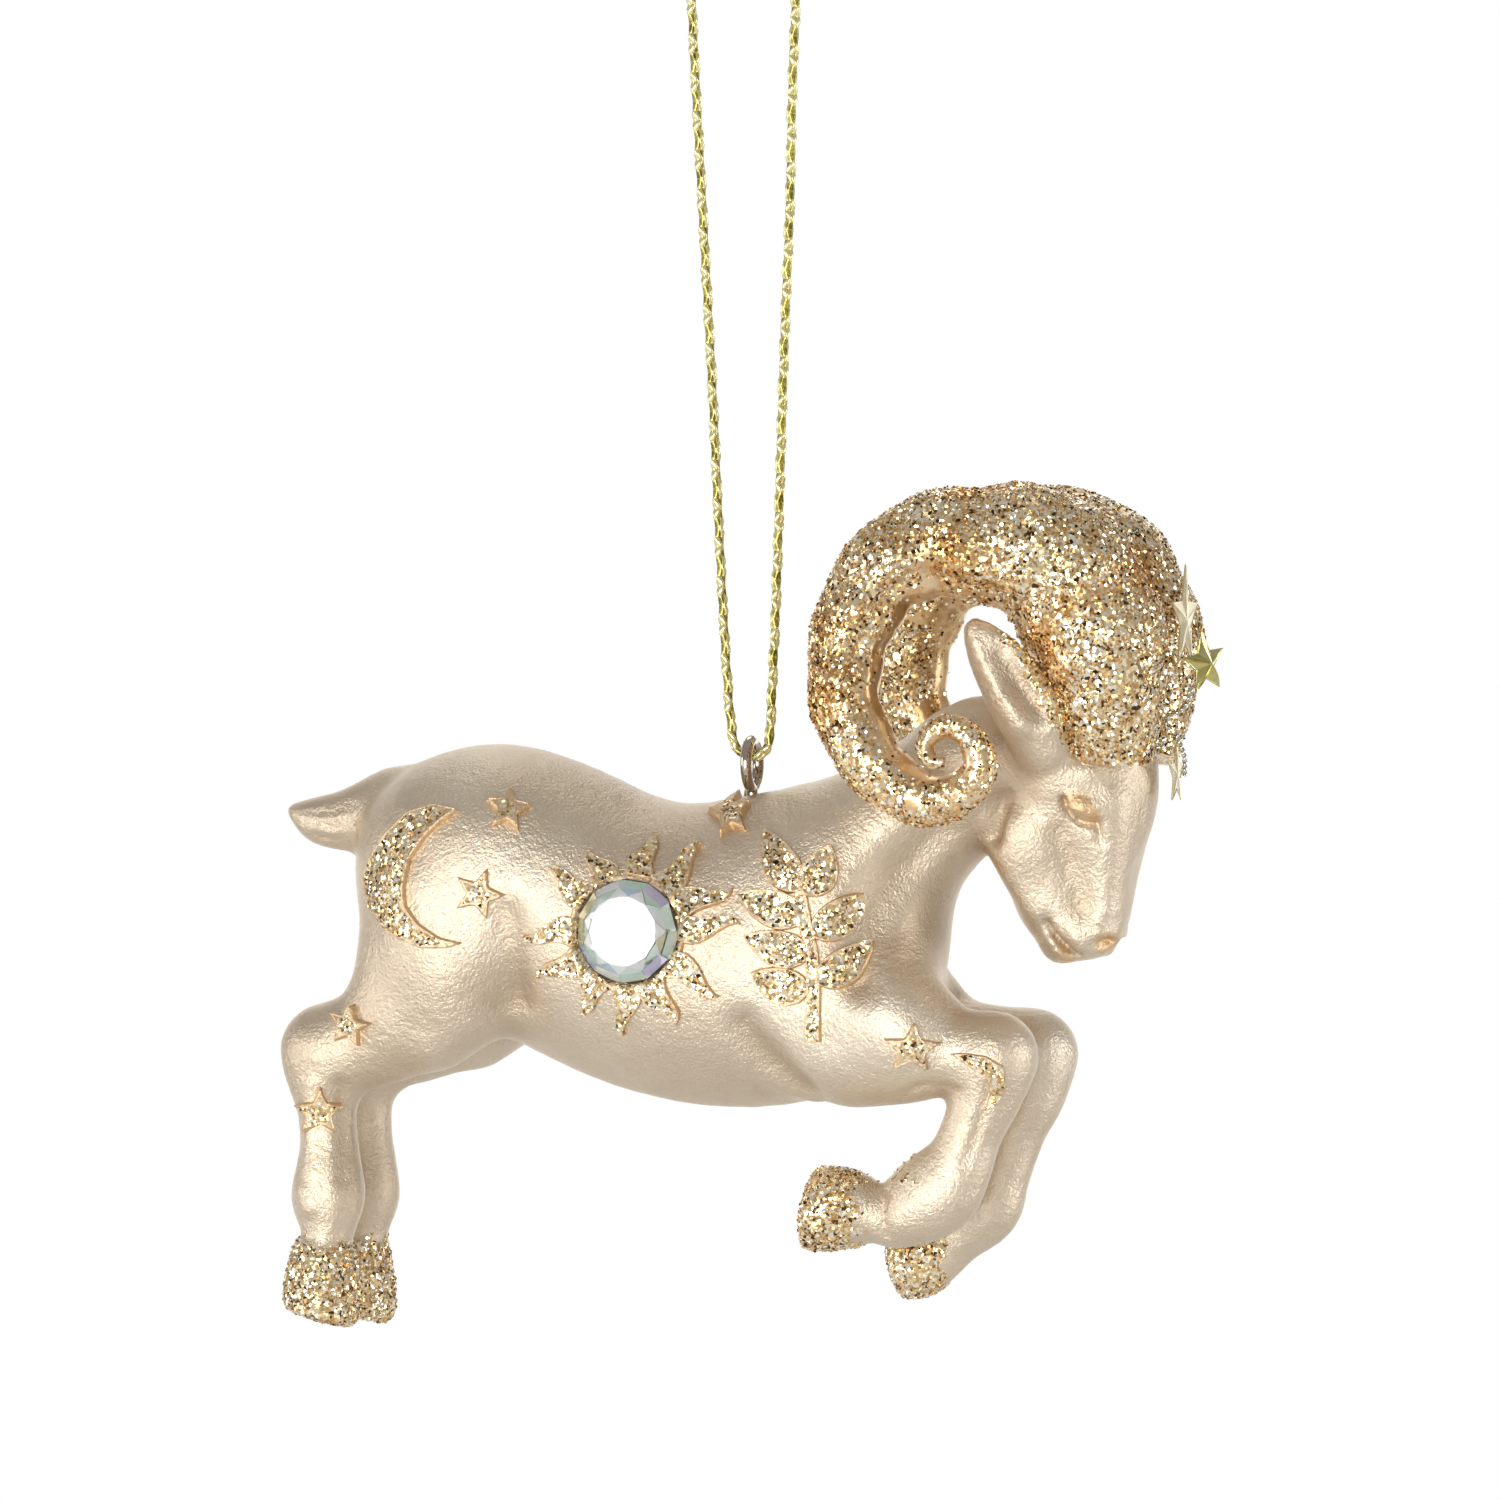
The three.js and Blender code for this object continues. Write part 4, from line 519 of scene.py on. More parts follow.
def glitter(nt, coord, size_mm, tilt=0.38):
    """Colour, tilted normal and a per-flake random of hexagonal glitter flakes."""
    v = node(nt, "ShaderNodeTexVoronoi", feature="F1")
    v.inputs["Scale"].default_value = 1000.0 / size_mm
    v.inputs["Randomness"].default_value = 1.0
    link(nt, coord, v.inputs["Vector"])
    sep = node(nt, "ShaderNodeSeparateColor")
    link(nt, v.outputs["Color"], sep.inputs[0])
    col = ramp(nt, sep.outputs[0], [
        (0.0, FLAKE_TONES[0][1])] + list(FLAKE_TONES[1:]))
    g = node(nt, "ShaderNodeNewGeometry").outputs["Normal"]
    sub = node(nt, "ShaderNodeVectorMath", operation="SUBTRACT")
    link(nt, v.outputs["Color"], sub.inputs[0])
    sub.inputs[1].default_value = (0.5, 0.5, 0.5)
    sc = node(nt, "ShaderNodeVectorMath", operation="SCALE")
    link(nt, sub.outputs[0], sc.inputs[0])
    sc.inputs["Scale"].default_value = tilt * 2
    ad = node(nt, "ShaderNodeVectorMath", operation="ADD")
    link(nt, g, ad.inputs[0])
    link(nt, sc.outputs[0], ad.inputs[1])
    nm = node(nt, "ShaderNodeVectorMath", operation="NORMALIZE")
    link(nt, ad.outputs[0], nm.inputs[0])
    return col, nm.outputs[0], sep.outputs[1], v.outputs["Distance"]


def bump(nt, height, strength, dist_mm, normal=None):
    b = node(nt, "ShaderNodeBump")
    b.inputs["Strength"].default_value = strength
    b.inputs["Distance"].default_value = dist_mm * MM
    link(nt, height, b.inputs["Height"])
    if normal is not None:
        link(nt, normal, b.inputs["Normal"])
    return b.outputs[0]


def mix_vec(nt, fac, a, b):
    n = node(nt, "ShaderNodeMix", data_type="VECTOR")
    link(nt, fac, n.inputs[0])
    link(nt, a, n.inputs[4])
    link(nt, b, n.inputs[5])
    return n.outputs[1]


def champagne(name, glitter_size=0.34):
    """Satin champagne paint with a fine grain, with painted shade (darker and warmer) in the hollows, golden motif rims
    and painted warm shade in the face creases, and glitter where the mask says.
    """
    m, nt, b = mat(name)
    co = obj_coord(nt)
    patch = noise(nt, 55, 4, 0.6, co)
    fine = noise(nt, 3400, 3, 0.6, co)
    paint = ramp(nt, patch, [(0.30, (0.66, 0.545, 0.41)), (0.50, (0.73, 0.62, 0.48)), (0.72, (0.80, 0.71, 0.575))])
    painted_hollow_shade = attribute(nt, "painted_hollow_shade")
    # painted shade: the hollows are darkened and warmed towards this brown
    paint = mix_col(nt, math_node(nt, "MULTIPLY", painted_hollow_shade, 0.5, True), paint, (0.44, 0.32, 0.20))
    # golden tint: real gold paint on the motif rims, and painted warm shade in the eye, nostril and mouth creases
    gilt_and_crease_shade = attribute(nt, "gilt_and_crease_shade")
    paint = mix_col(nt, gilt_and_crease_shade, paint, (0.74, 0.50, 0.26))
    speck = ramp(nt, noise(nt, 2600, 1, 0.5, co), [(0.70, (0, 0, 0)), (0.78, (1, 1, 1))])
    sp = node(nt, "ShaderNodeRGBToBW")
    link(nt, speck, sp.inputs[0])
    paint = mix_col(nt, math_node(nt, "MULTIPLY", sp.outputs[0], 0.35), paint, (0.95, 0.88, 0.72))
    grain = bump(nt, fine, 1.0, 0.12)
    brush = bump(nt, noise(nt, 1150, 3, 0.6, co), 0.8, 0.16, grain)
    gcol, gnor, grand, gdist = glitter(nt, co, glitter_size)
    mask = attribute(nt, "glit")
    ragged = math_node(nt, "ADD", mask, math_node(nt, "MULTIPLY", math_node(nt, "SUBTRACT", grand, 0.5), 0.7))
    mask2 = math_node(nt, "MAXIMUM", math_node(nt, "GREATER_THAN", ragged, 0.5), attribute(nt, "flake"))
    gnor = mix_vec(nt, attribute(nt, "flake"), gnor, node(nt, "ShaderNodeNewGeometry").outputs["Normal"])
    flake = attribute(nt, "flake")
    gcol = mix_col(nt, flake, gcol, ramp(nt, attribute(nt, "tone_and_painted_light"), FLAKE_TONES))
    link(nt, mix_col(nt, mask2, paint, gcol), b.inputs["Base Color"])
    rough = mix_val(nt, fine, 0.33, 0.50)
    link(nt, mix_val(nt, mask2, rough, mix_val(nt, grand, 0.12, 0.36)), b.inputs["Roughness"])
    link(nt, mix_vec(nt, mask2, brush, gnor), b.inputs["Normal"])
    b.inputs["Metallic"].default_value = 0.84
    b.inputs["Specular IOR Level"].default_value = 0.5
    b.inputs["Coat Weight"].default_value = 0.04
    b.inputs["Coat Roughness"].default_value = 0.35
    return m


def glitter_gold(name, size):
    """Coarse gold glitter over satin peach-gold paint, thinner where the bare mask says."""
    m, nt, b = mat(name)
    co = obj_coord(nt)
    gcol, gnor, grand, gdist = glitter(nt, co, size)
    patch = noise(nt, 420, 3, 0.6, co)
    warm = noise(nt, 110, 2, 0.5, co)
    flake = attribute(nt, "flake")
    gcol = mix_col(nt, flake, gcol, ramp(nt, attribute(nt, "tone_and_painted_light"), FLAKE_TONES))
    gcol = mix_col(nt, ramp_fac(nt, warm, 0.50, 0.72), gcol, mix_col(nt, 1.0, gcol, (0.84, 0.62, 0.38), "MULTIPLY"))
    bare_col = ramp(nt, patch, [(0.32, (0.60, 0.37, 0.16)), (0.5, (0.80, 0.56, 0.30)), (0.7, (0.93, 0.74, 0.50))])
    thin = math_node(nt, "ADD", attribute(nt, "bare"), math_node(nt, "MULTIPLY", math_node(nt, "SUBTRACT", patch, 0.5), 0.9))
    sel = math_node(nt, "LESS_THAN", math_node(nt, "ADD", thin, math_node(nt, "MULTIPLY", grand, 0.45)), 0.52)
    sel = math_node(nt, "MAXIMUM", sel, flake)
    gnor = mix_vec(nt, flake, gnor, node(nt, "ShaderNodeNewGeometry").outputs["Normal"])
    link(nt, mix_col(nt, sel, bare_col, gcol), b.inputs["Base Color"])
    link(nt, mix_val(nt, sel, 0.30, mix_val(nt, grand, 0.10, 0.34)), b.inputs["Roughness"])
    fine = bump(nt, noise(nt, 2600, 2, 0.5, co), 0.4, 0.05)
    link(nt, mix_vec(nt, sel, fine, gnor), b.inputs["Normal"])
    b.inputs["Metallic"].default_value = 0.88
    b.inputs["Specular IOR Level"].default_value = 0.6
    return m


def ramp_fac(nt, fac, lo, hi):
    n = node(nt, "ShaderNodeMapRange")
    n.inputs[1].default_value = lo
    n.inputs[2].default_value = hi
    link(nt, fac, n.inputs[0])
    return n.outputs[0]


MAT_BODY = champagne("champagne_paint")
MAT_HORN = glitter_gold("glitter_gold_horn", 0.34)


# ------------------------------------------------------------------ ram body
SHAPES = prepare()
H = 0.40
V, Q = sculpt([-49.0, -19.4, -141.5], [46, 19.4, -68], H, SHAPES)
mean = neighbours(len(V), Q)
for _ in range(1):
    V = V + 0.5 * (mean(V) - V)
N = normals(V, Q)
wide = V.copy()
for _ in range(int(9 * (0.42 / H) ** 2) + 2):
    wide = mean(wide)
hollow = ((wide - V) * N).sum(1)
for _ in range(3):
    hollow = mean(hollow)


def noise3(P, size, seed):
    return lattice(P / size, seed)


def hoof_mask(P):
    x, y, z = P[:, 0], P[:, 1], P[:, 2]
    w = noise3(P, 1.1, 3) * 0.9 + noise3(P, 0.45, 5) * 0.5
    m = np.zeros(len(P))
    m = np.maximum(m, smoothstep(-129.9 - z + w, -0.5, 0.5) * (x < -25))
    m = np.maximum(m, smoothstep(12.4 - x + w, -0.5, 0.5) * (y < 0) * (x > 2) * (z < -119) * (z > -134))
    m = np.maximum(m, smoothstep(17.6 - x + w, -0.5, 0.5) * (y > 0) * (z < -127) * (x > 5))
    crumbs = smoothstep(noise3(P, 0.7, 11) + 0.25 * noise3(P, 0.3, 12), 0.30, 0.45) * (y < 0) * (z > -123.6) * (z < -120.5) * (x > 11.5) * (x < 19.5)
    m = np.maximum(m, crumbs)
    edge = np.where(z > -83.1, 30.9 + (-78.1 - z) * 0.51, 60)
    m = np.maximum(m, smoothstep(x - edge + w * 0.6, -0.4, 0.4) * smoothstep(z + 83.0 + w * 0.5, -0.3, 0.3) * (z < -60))
    return np.clip(m, 0, 1)


glit = hoof_mask(V)
V = V + N * (glit * (0.10 + 0.12 * noise3(V, 0.5, 21)))[:, None]
r_gem = np.hypot(V[:, 0] - GEM_X, V[:, 2] - GEM_Z)
V = V + N * (0.025 * noise3(V, 1.7, 31) + 0.035 * noise3(V, 4.5, 32))[:, None]
seat = (r_gem < 5.2) & (np.abs(V[:, 1]) > GEM_SEAT_Y - 0.05)
V[seat, 1] = np.sign(V[seat, 1]) * (GEM_SEAT_Y - 0.05)
N = normals(V, Q)
gilt_and_crease_shade = np.zeros(len(V))


def near_px(P, u, v, r, soft):
    """Distance mask about a point of the flank, the same on both sides."""
    yy = -np.abs(P[:, 1])
    uu = 752 + 10.5 * (P[:, 0] * math.cos(AZ) + yy * math.sin(AZ))
    vv = 764 - 10.5 * (P[:, 2] + 84)
    return 1 - smoothstep(np.hypot(uu - u, vv - v), r, r + soft)


# painted shade: a warmer, darker golden tint in the creases of the eye, the nostril, the mouth and one spot below the
# cheek
for (u, v, r, s) in [(1072, 801, 5, 9), (1080, 805, 6, 8), (1089, 815, 4, 8), (1103, 942, 5, 10), (1110, 938, 3, 7), (990, 868, 4, 12), (1060, 950, 3, 8), (1066, 958, 3, 8)]:
    gilt_and_crease_shade = np.maximum(gilt_and_crease_shade, near_px(V, u, v, r, s) * 0.8)


def flakes(P, Nn, size, tilt, lift, gen):
    """Small hexagonal flakes lying on points P, each tipped at random: vertices and n-gon faces."""
    n = len(P)
    nn = Nn + gen.normal(0, tilt, (n, 3))
    nn /= np.linalg.norm(nn, axis=1)[:, None]
    a = np.cross(nn, gen.normal(0, 1, (n, 3)))
    a /= np.linalg.norm(a, axis=1)[:, None]
    b = np.cross(nn, a)
    r = size * (0.75 + 0.5 * gen.random(n))
    ang = np.arange(6) * math.pi / 3
    c = P + Nn * lift
    vv = c[:, None, :] + r[:, None, None] * (np.cos(ang)[None, :, None] * a[:, None, :] + np.sin(ang)[None, :, None] * b[:, None, :])
    return vv.reshape(-1, 3), np.arange(n * 6).reshape(n, 6)


def scatter(Vs, Qs, weight, density, gen):
    """Random points on the surface where weight is high, with their normals."""
    T = Qs if Qs.shape[1] == 3 else np.concatenate([Qs[:, [0, 1, 2]], Qs[:, [0, 2, 3]]])
    a, b, c = Vs[T[:, 0]], Vs[T[:, 1]], Vs[T[:, 2]]
    cr = np.cross(b - a, c - a)
    area = np.linalg.norm(cr, axis=1) * 0.5
    w = area * weight[T].mean(1)
    n = int(w.sum() * density)
    if n == 0:
        return np.zeros((0, 3)), np.zeros((0, 3))
    pick = gen.choice(len(T), n, p=w / w.sum())
    r1, r2 = np.sqrt(gen.random(n)), gen.random(n)
    P = (1 - r1)[:, None] * a[pick] + (r1 * (1 - r2))[:, None] * b[pick] + (r1 * r2)[:, None] * c[pick]
    nn = cr[pick] / np.maximum(2 * area[pick], 1e-12)[:, None]
    return P, nn


def build(name, parts, attrs, smooth=True):
    """One mesh object of several (verts, faces) groups; attrs is {name: [array per group]}."""
    allv, polys, tot = [], [], 0
    for (v, f) in parts:
        allv.append(np.asarray(v, float))
        polys.append((np.asarray(f) + tot))
        tot += len(v)
    Vv = np.concatenate(allv)
    me = bpy.data.meshes.new(name)
    me.vertices.add(len(Vv))
    me.vertices.foreach_set("co", (Vv * MM).astype(np.float32).ravel())
    nl = sum(p.size for p in polys)
    npoly = sum(len(p) for p in polys)
    me.loops.add(nl)
    me.loops.foreach_set("vertex_index", np.concatenate([p.ravel() for p in polys]).astype(np.int32))
    me.polygons.add(npoly)
    st = np.concatenate([np.full(len(p), p.shape[1]) for p in polys])
    me.polygons.foreach_set("loop_start", np.concatenate([[0], np.cumsum(st)[:-1]]).astype(np.int32))
    me.update(calc_edges=True)
    me.polygons.foreach_set("use_smooth", np.full(npoly, smooth, dtype=bool))
    for an, vals in attrs.items():
        a = me.attributes.new(an, "FLOAT", "POINT")
        a.data.foreach_set("value", np.concatenate([np.broadcast_to(np.asarray(x, np.float32), (len(v),)) for x, (v, f) in zip(vals, parts)]))
    me.update()
    ob = bpy.data.objects.new(name, me)
    bpy.context.scene.collection.objects.link(ob)
    return ob


def finish_piece(ob, body, replaces, material):
    ob.data.materials.append(material)
    if replaces:
        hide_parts(*replaces)
    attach(ob, body)


# painted shade in the hollows: the deeper the hollow, the darker the paint
painted_hollow_shade = np.clip((hollow + 0.02) / 0.16, 0, 1)
FP, FN = scatter(V, Q, glit, 9, rng)
fv, ff = flakes(FP, FN, 0.15, 0.36, 0.05, rng)
fr = np.repeat(rng.random(len(ff)), 6)
body_ob = build("ram_body_sculpt", [(V, Q), (fv, ff)], {
    "painted_hollow_shade": [painted_hollow_shade, 0], "glit": [glit, 1], "gilt_and_crease_shade": [gilt_and_crease_shade, 0], "flake": [0, 1], "tone_and_painted_light": [0, fr]})
finish_piece(body_ob, "ram", ["ram_body"], MAT_BODY)

TREE = BVHTree.FromPolygons([tuple(v) for v in V], [tuple(int(i) for i in q) for q in Q])

# ------------------------------------------------------------------ raised motifs, on both flanks
SOFTN = N.copy()
for _ in range(6):
    SOFTN = mean(SOFTN)
SOFTN /= np.linalg.norm(SOFTN, axis=1)[:, None]
from mathutils.kdtree import KDTree
KD = KDTree(len(V))
for i, v in enumerate(V):
    KD.insert(v, i)
KD.balance()


def resample(poly, step):
    P = np.array(poly, float)
    out = []
    for i in range(len(P)):
        a, b = P[i], P[(i + 1) % len(P)]
        n = max(1, int(round(np.linalg.norm(b - a) / step)))
        out += [a + (b - a) * j / n for j in range(n)]
    return np.array(out)


def edge_dist(pts, P):
    """Distance of each point to the closed outline P, and whether it lies inside."""
    best = np.full(len(pts), 1e9)
    inside = np.zeros(len(pts), bool)
    for i in range(len(P)):
        a, b = P[i], P[(i + 1) % len(P)]
        d = b - a
        t = np.clip(((pts - a) @ d) / max(d @ d, 1e-12), 0, 1)
        best = np.minimum(best, np.linalg.norm(pts - (a + t[:, None] * d), axis=1))
        cond = (a[1] > pts[:, 1]) != (b[1] > pts[:, 1])
        xs = a[0] + (pts[:, 1] - a[1]) / (d[1] if abs(d[1]) > 1e-12 else 1e-12) * d[0]
        inside ^= cond & (pts[:, 0] < xs)
    return best, inside


def motif(name, poly, side, height, rim_w, sunk, gl, shoulder=0.14, round_top=0.0):
    """Vertices, triangles and masks of one raised motif on one flank."""
    P = np.array(poly, float)
    O = resample(P, 0.22)
    pts = [O]
    c = P.mean(0)
    nxt, prv = np.roll(O, -1, 0), np.roll(O, 1, 0)
    tng = nxt - prv
    tng /= np.maximum(np.linalg.norm(tng, axis=1), 1e-9)[:, None]
    inn = np.stack([-tng[:, 1], tng[:, 0]], 1)
    for d in (shoulder * 0.5, shoulder, rim_w * 0.7, rim_w + 0.05):
        q = O + inn * d
        dist, ins = edge_dist(q, P)
        pts.append(q[ins & (dist > d * 0.93)])
    lo, hi = P.min(0), P.max(0)
    g = np.stack(np.meshgrid(np.arange(lo[0], hi[0], 0.3), np.arange(lo[1], hi[1], 0.3), indexing="ij"), -1).reshape(-1, 2)
    g = g + rng.uniform(-0.06, 0.06, g.shape)
    dist, ins = edge_dist(g, P)
    pts.append(g[ins & (dist > rim_w + 0.16)])
    allp = np.concatenate(pts)
    keep, seen = [], set()
    for i, p in enumerate(allp):
        key = (int(round(p[0] / 0.05)), int(round(p[1] / 0.05)))
        if i < len(O) or key not in seen:
            seen.add(key)
            keep.append(i)
    allp = allp[keep]
    nO = len(O)
    res = delaunay_2d_cdt([Vector(p) for p in allp], [(i, (i + 1) % nO) for i in range(nO)], [], 1, 1e-5)
    vp = np.array([tuple(v) for v in res[0]])
    tris = np.array([t for t in res[2] if len(t) == 3], int)
    dist, ins = edge_dist(vp, P)
    cen = vp[tris].mean(1)
    _, tin = edge_dist(cen, P)
    tris = tris[tin]
    hgt = -0.25 + (height + 0.25) * smoothstep(dist, 0, shoulder)
    hgt -= sunk * smoothstep(dist, rim_w * 0.8, rim_w + 0.25)
    hgt += round_top * smoothstep(dist, 0.1, 1.4)
    out = np.zeros((len(vp), 3))
    ok = np.ones(len(vp), bool)
    for i, (x, z) in enumerate(vp):
        h = TREE.ray_cast(Vector((x, side * 30, z)), Vector((0, -side, 0)))
        if h[0] is None:
            ok[i] = False
            continue
        n = SOFTN[KD.find(h[0])[1]]
        out[i] = np.array(h[0]) + n * hgt[i]
    if not ok.all():
        good = np.where(ok)[0]
        if len(good) == 0:
            return None
        for i in np.where(~ok)[0]:
            j = good[np.argmin(((vp[good] - vp[i]) ** 2).sum(1))]
            out[i] = out[j] + np.array([vp[i][0] - vp[j][0], 0, vp[i][1] - vp[j][1]])
            out[i, 1] -= side * 0.8
    if name == "sun_ring":
        rg = np.hypot(out[:, 0] - GEM_X, out[:, 2] - GEM_Z)
        pit = rg < 5.06
        out[pit, 1] = side * np.minimum(np.abs(out[pit, 1]), GEM_SEAT_Y - 0.02)
    # put a consistent winding, outward on this side
    e = np.cross(out[tris[:, 1]] - out[tris[:, 0]], out[tris[:, 2]] - out[tris[:, 0]])
    flip = e[:, 1] * side < 0
    tris[flip] = tris[flip][:, ::-1]
    if name == "sun_ring":
        gl = gl * (np.hypot(out[:, 0] - GEM_X, out[:, 2] - GEM_Z) > 5.12)
    rough = noise3(out, 0.8, 41)
    g = smoothstep(dist + rough * 0.18, rim_w * 0.9, rim_w * 0.9 + 0.15) * gl
    lipcol = (1 - smoothstep(dist, 0.0, rim_w + 0.2)) * 0.55 + 0.30
    return out, tris, np.clip(g, 0, 1), np.clip(lipcol, 0, 1)


STYLE = {"moon": (0.62, 0.38, 0.10, 1.0), "stem": (0.52, 0.30, 0.0, 0.9), "sun_ring": (0.55, 0.3, 0.0, 0.6), "knee_moon": (0.5, 0.2, 0.0, 1.0)}
parts, gl_list, gi_list = [], [], []
for name, poly in RELIEFS.items():
    if name == "sun_ring":
        st = (0.45, 0.3, 0.0, 0.7)
    elif name.startswith("sun"):
        st = (0.62, 0.16, 0.03, 1.0)
    elif name.startswith("leaf"):
        st = (0.66, 0.28, 0.12, 1.0)
    elif name.startswith("star"):
        st = (0.66, 0.42, 0.06, 1.0)
    else:
        st = STYLE[name]
    for side in (-1, 1):
        if name == "star_saddle":
            # this one lies on the back, over the ridge of the saddle
            pass
        r = motif(name, poly, side, st[0], st[1], st[2], st[3], round_top=0.14 if name.startswith(("leaf", "star")) else 0.0)
        if r is None:
            continue
        parts.append((r[0], r[1]))
        gl_list.append(r[2])
        gi_list.append(r[3])
mparts = [(v, f) for v, f in parts]
allfl = []
for (v, f), g in zip(parts, gl_list):
    p, n = scatter(v, f, g, 10, rng)
    if len(p):
        allfl.append((p, n))
FP = np.concatenate([a for a, b in allfl])
FN = np.concatenate([b for a, b in allfl])
fv, ff = flakes(FP, FN, 0.14, 0.26, 0.05, rng)
fr = np.repeat(rng.random(len(ff)), 6)
n = len(mparts)
motif_ob = build("ram_body_raised_motifs", mparts + [(fv, ff)], {
    "glit": gl_list + [1], "gilt_and_crease_shade": gi_list + [0], "painted_hollow_shade": [0] * n + [0], "flake": [0] * n + [1], "tone_and_painted_light": [0] * n + [fr]})
finish_piece(motif_ob, "ram", [], MAT_BODY)
print("motif faces", len(motif_ob.data.polygons), "body faces", len(body_ob.data.polygons))


# ------------------------------------------------------------------ horns
def horn(side):
    S = catmull(HORN_SPINE, 16)
    C = S[:, :3].copy()
    if side > 0:
        C[:, 1] = -S[:, 1]
    a, b = S[:, 3], S[:, 4]
    T = np.gradient(C, axis=0)
    T /= np.linalg.norm(T, axis=1)[:, None]
    Nn = np.cross(T, np.array([0.0, 1.0, 0.0]))
    Nn /= np.linalg.norm(Nn, axis=1)[:, None]
    B = np.cross(T, Nn)
    s = np.concatenate([[0], np.cumsum(np.linalg.norm(np.diff(C, axis=0), axis=1))])
    seg = 88
    th = np.arange(seg) * 2 * math.pi / seg
    TH, SS = np.meshgrid(th, s)
    facing = 1 if side < 0 else -1          # +90 degrees faces out on the right horn, -90 on the left
    k = 1 + 0.035 * np.sin(2 * math.pi * SS / 6.5 + side * TH) * np.clip(SS / 8, 0, 1)
    far = np.clip((SS - 20) / 15, 0, 1) * np.clip((s[-1] - 18 - SS) / 20, 0, 1)
    for th0, depth, wid in ((math.radians(42), 0.13, 0.26), (math.radians(8), 0.05, 0.22), (math.radians(118), 0.05, 0.30)):
        dth = (TH * facing - th0 + math.pi + 0.25 * np.sin(SS / 9)) % (2 * math.pi) - math.pi
        k = k - depth * np.exp(-(dth / wid) ** 2) * far
        k = k + 0.35 * depth * np.exp(-((dth - 0.45) / 0.25) ** 2) * far
    ring = Nn[:, None, :] * (a[:, None] * np.cos(TH) * k)[..., None] + B[:, None, :] * (b[:, None] * np.sin(TH) * k)[..., None]
    X = (C[:, None, :] + ring)
    m, g = X.shape[:2]
    verts = X.reshape(-1, 3)
    i, j = np.meshgrid(np.arange(m - 1), np.arange(g), indexing="ij")
    i, j = i.ravel(), j.ravel()
    F = np.stack([i * g + j, i * g + (j + 1) % g, (i + 1) * g + (j + 1) % g, (i + 1) * g + j], 1)
    Nv = normals(verts, F)
    out = ((verts - np.repeat(C, g, 0)) * Nv).sum(1).mean()
    if out < 0:
        F = F[:, ::-1]
        Nv = -Nv
    lump = 0.16 * noise3(verts, 3.2, 51) + 0.10 * noise3(verts, 1.5, 52) + 0.05 * noise3(verts, 0.6, 53)
    size = np.repeat(np.minimum(a, b), g)
    verts = verts + Nv * (lump * np.clip(size / 4, 0.15, 1))[:, None]
    caps = []
    c0 = len(verts)
    verts = np.concatenate([verts, C[:1], C[-1:]])
    tri = [(c0, (q + 1) % g, q) for q in range(g)] + [(c0 + 1, (m - 1) * g + q, (m - 1) * g + (q + 1) % g) for q in range(g)]
    Nv = np.concatenate([Nv, -T[:1], T[-1:]])
    tri = np.array(tri)
    if out < 0:
        tri = tri[:, ::-1]
    # thin the glitter on the inner side of the curl and in patches
    inner = np.exp(-((((TH * facing + math.pi) % (2 * math.pi)) - math.pi) / 0.75) ** 2).ravel()
    s_all = SS.ravel()
    bare = 0.85 * inner * smoothstep(s_all, 14, 34) + 0.70 * smoothstep(noise3(verts[:-2], 4.0, 61) + 0.6 * noise3(verts[:-2], 1.6, 62), 0.34, 0.64) * (0.25 + 0.75 * smoothstep(s_all, 20, 50)) + 0.25 * smoothstep(s_all, s[-1] - 40, s[-1] - 20)
    bare = np.clip(bare, 0, 0.95)
    bare = np.concatenate([bare, [0, 0]])
    P, Pn = scatter(verts, F, np.clip(1 - bare * 1.05, 0.06, 1), 7.5, rng)
    fv, ff = flakes(P, Pn, 0.155, 0.36, 0.05, rng)
    fr = np.repeat(rng.random(len(ff)), 6)
    nm = "horn_right_glittered" if side < 0 else "horn_left_glittered"
    ob = build(nm, [(verts, F), (verts, tri), (fv, ff)], {"bare": [bare, 0, -1], "flake": [0, 0, 1], "tone_and_painted_light": [0, 0, fr]})
    finish_piece(ob, "ram", ["horn_right" if side < 0 else "horn_left"], MAT_HORN)
    print(nm, len(ob.data.polygons))


horn(-1)
horn(1)


# ------------------------------------------------------------------ tubes and twisted strands
def tube(path, radius, seg, closed_ends=True):
    P = np.array(path, float)
    T = np.gradient(P, axis=0)
    T /= np.maximum(np.linalg.norm(T, axis=1), 1e-12)[:, None]
    ref = np.array([0.0, 1.0, 0.0]) if abs(T[0][1]) < 0.9 else np.array([1.0, 0, 0])
    u = np.cross(T[0], ref)
    u /= np.linalg.norm(u)
    U = [u]
    for i in range(1, len(P)):
        u = u - T[i] * (u @ T[i])
        u /= np.linalg.norm(u)
        U.append(u)
    U = np.array(U)
    W = np.cross(T, U)
    th = np.arange(seg) * 2 * math.pi / seg
    r = np.broadcast_to(np.asarray(radius, float), (len(P),))
    X = P[:, None] + r[:, None, None] * (np.cos(th)[None, :, None] * U[:, None] + np.sin(th)[None, :, None] * W[:, None])
    m = len(P)
    i, j = np.meshgrid(np.arange(m - 1), np.arange(seg), indexing="ij")
    i, j = i.ravel(), j.ravel()
    F = np.stack([i * seg + j, i * seg + (j + 1) % seg, (i + 1) * seg + (j + 1) % seg, (i + 1) * seg + j], 1)
    return X.reshape(-1, 3), F, (P, U, W)


def even(path, step):
    P = catmull(path, 12)
    s = np.concatenate([[0], np.cumsum(np.linalg.norm(np.diff(P, axis=0), axis=1))])
    n = int(s[-1] / step) + 1
    t = np.linspace(0, s[-1], n)
    return np.stack([np.interp(t, s, P[:, c]) for c in range(3)], 1), t


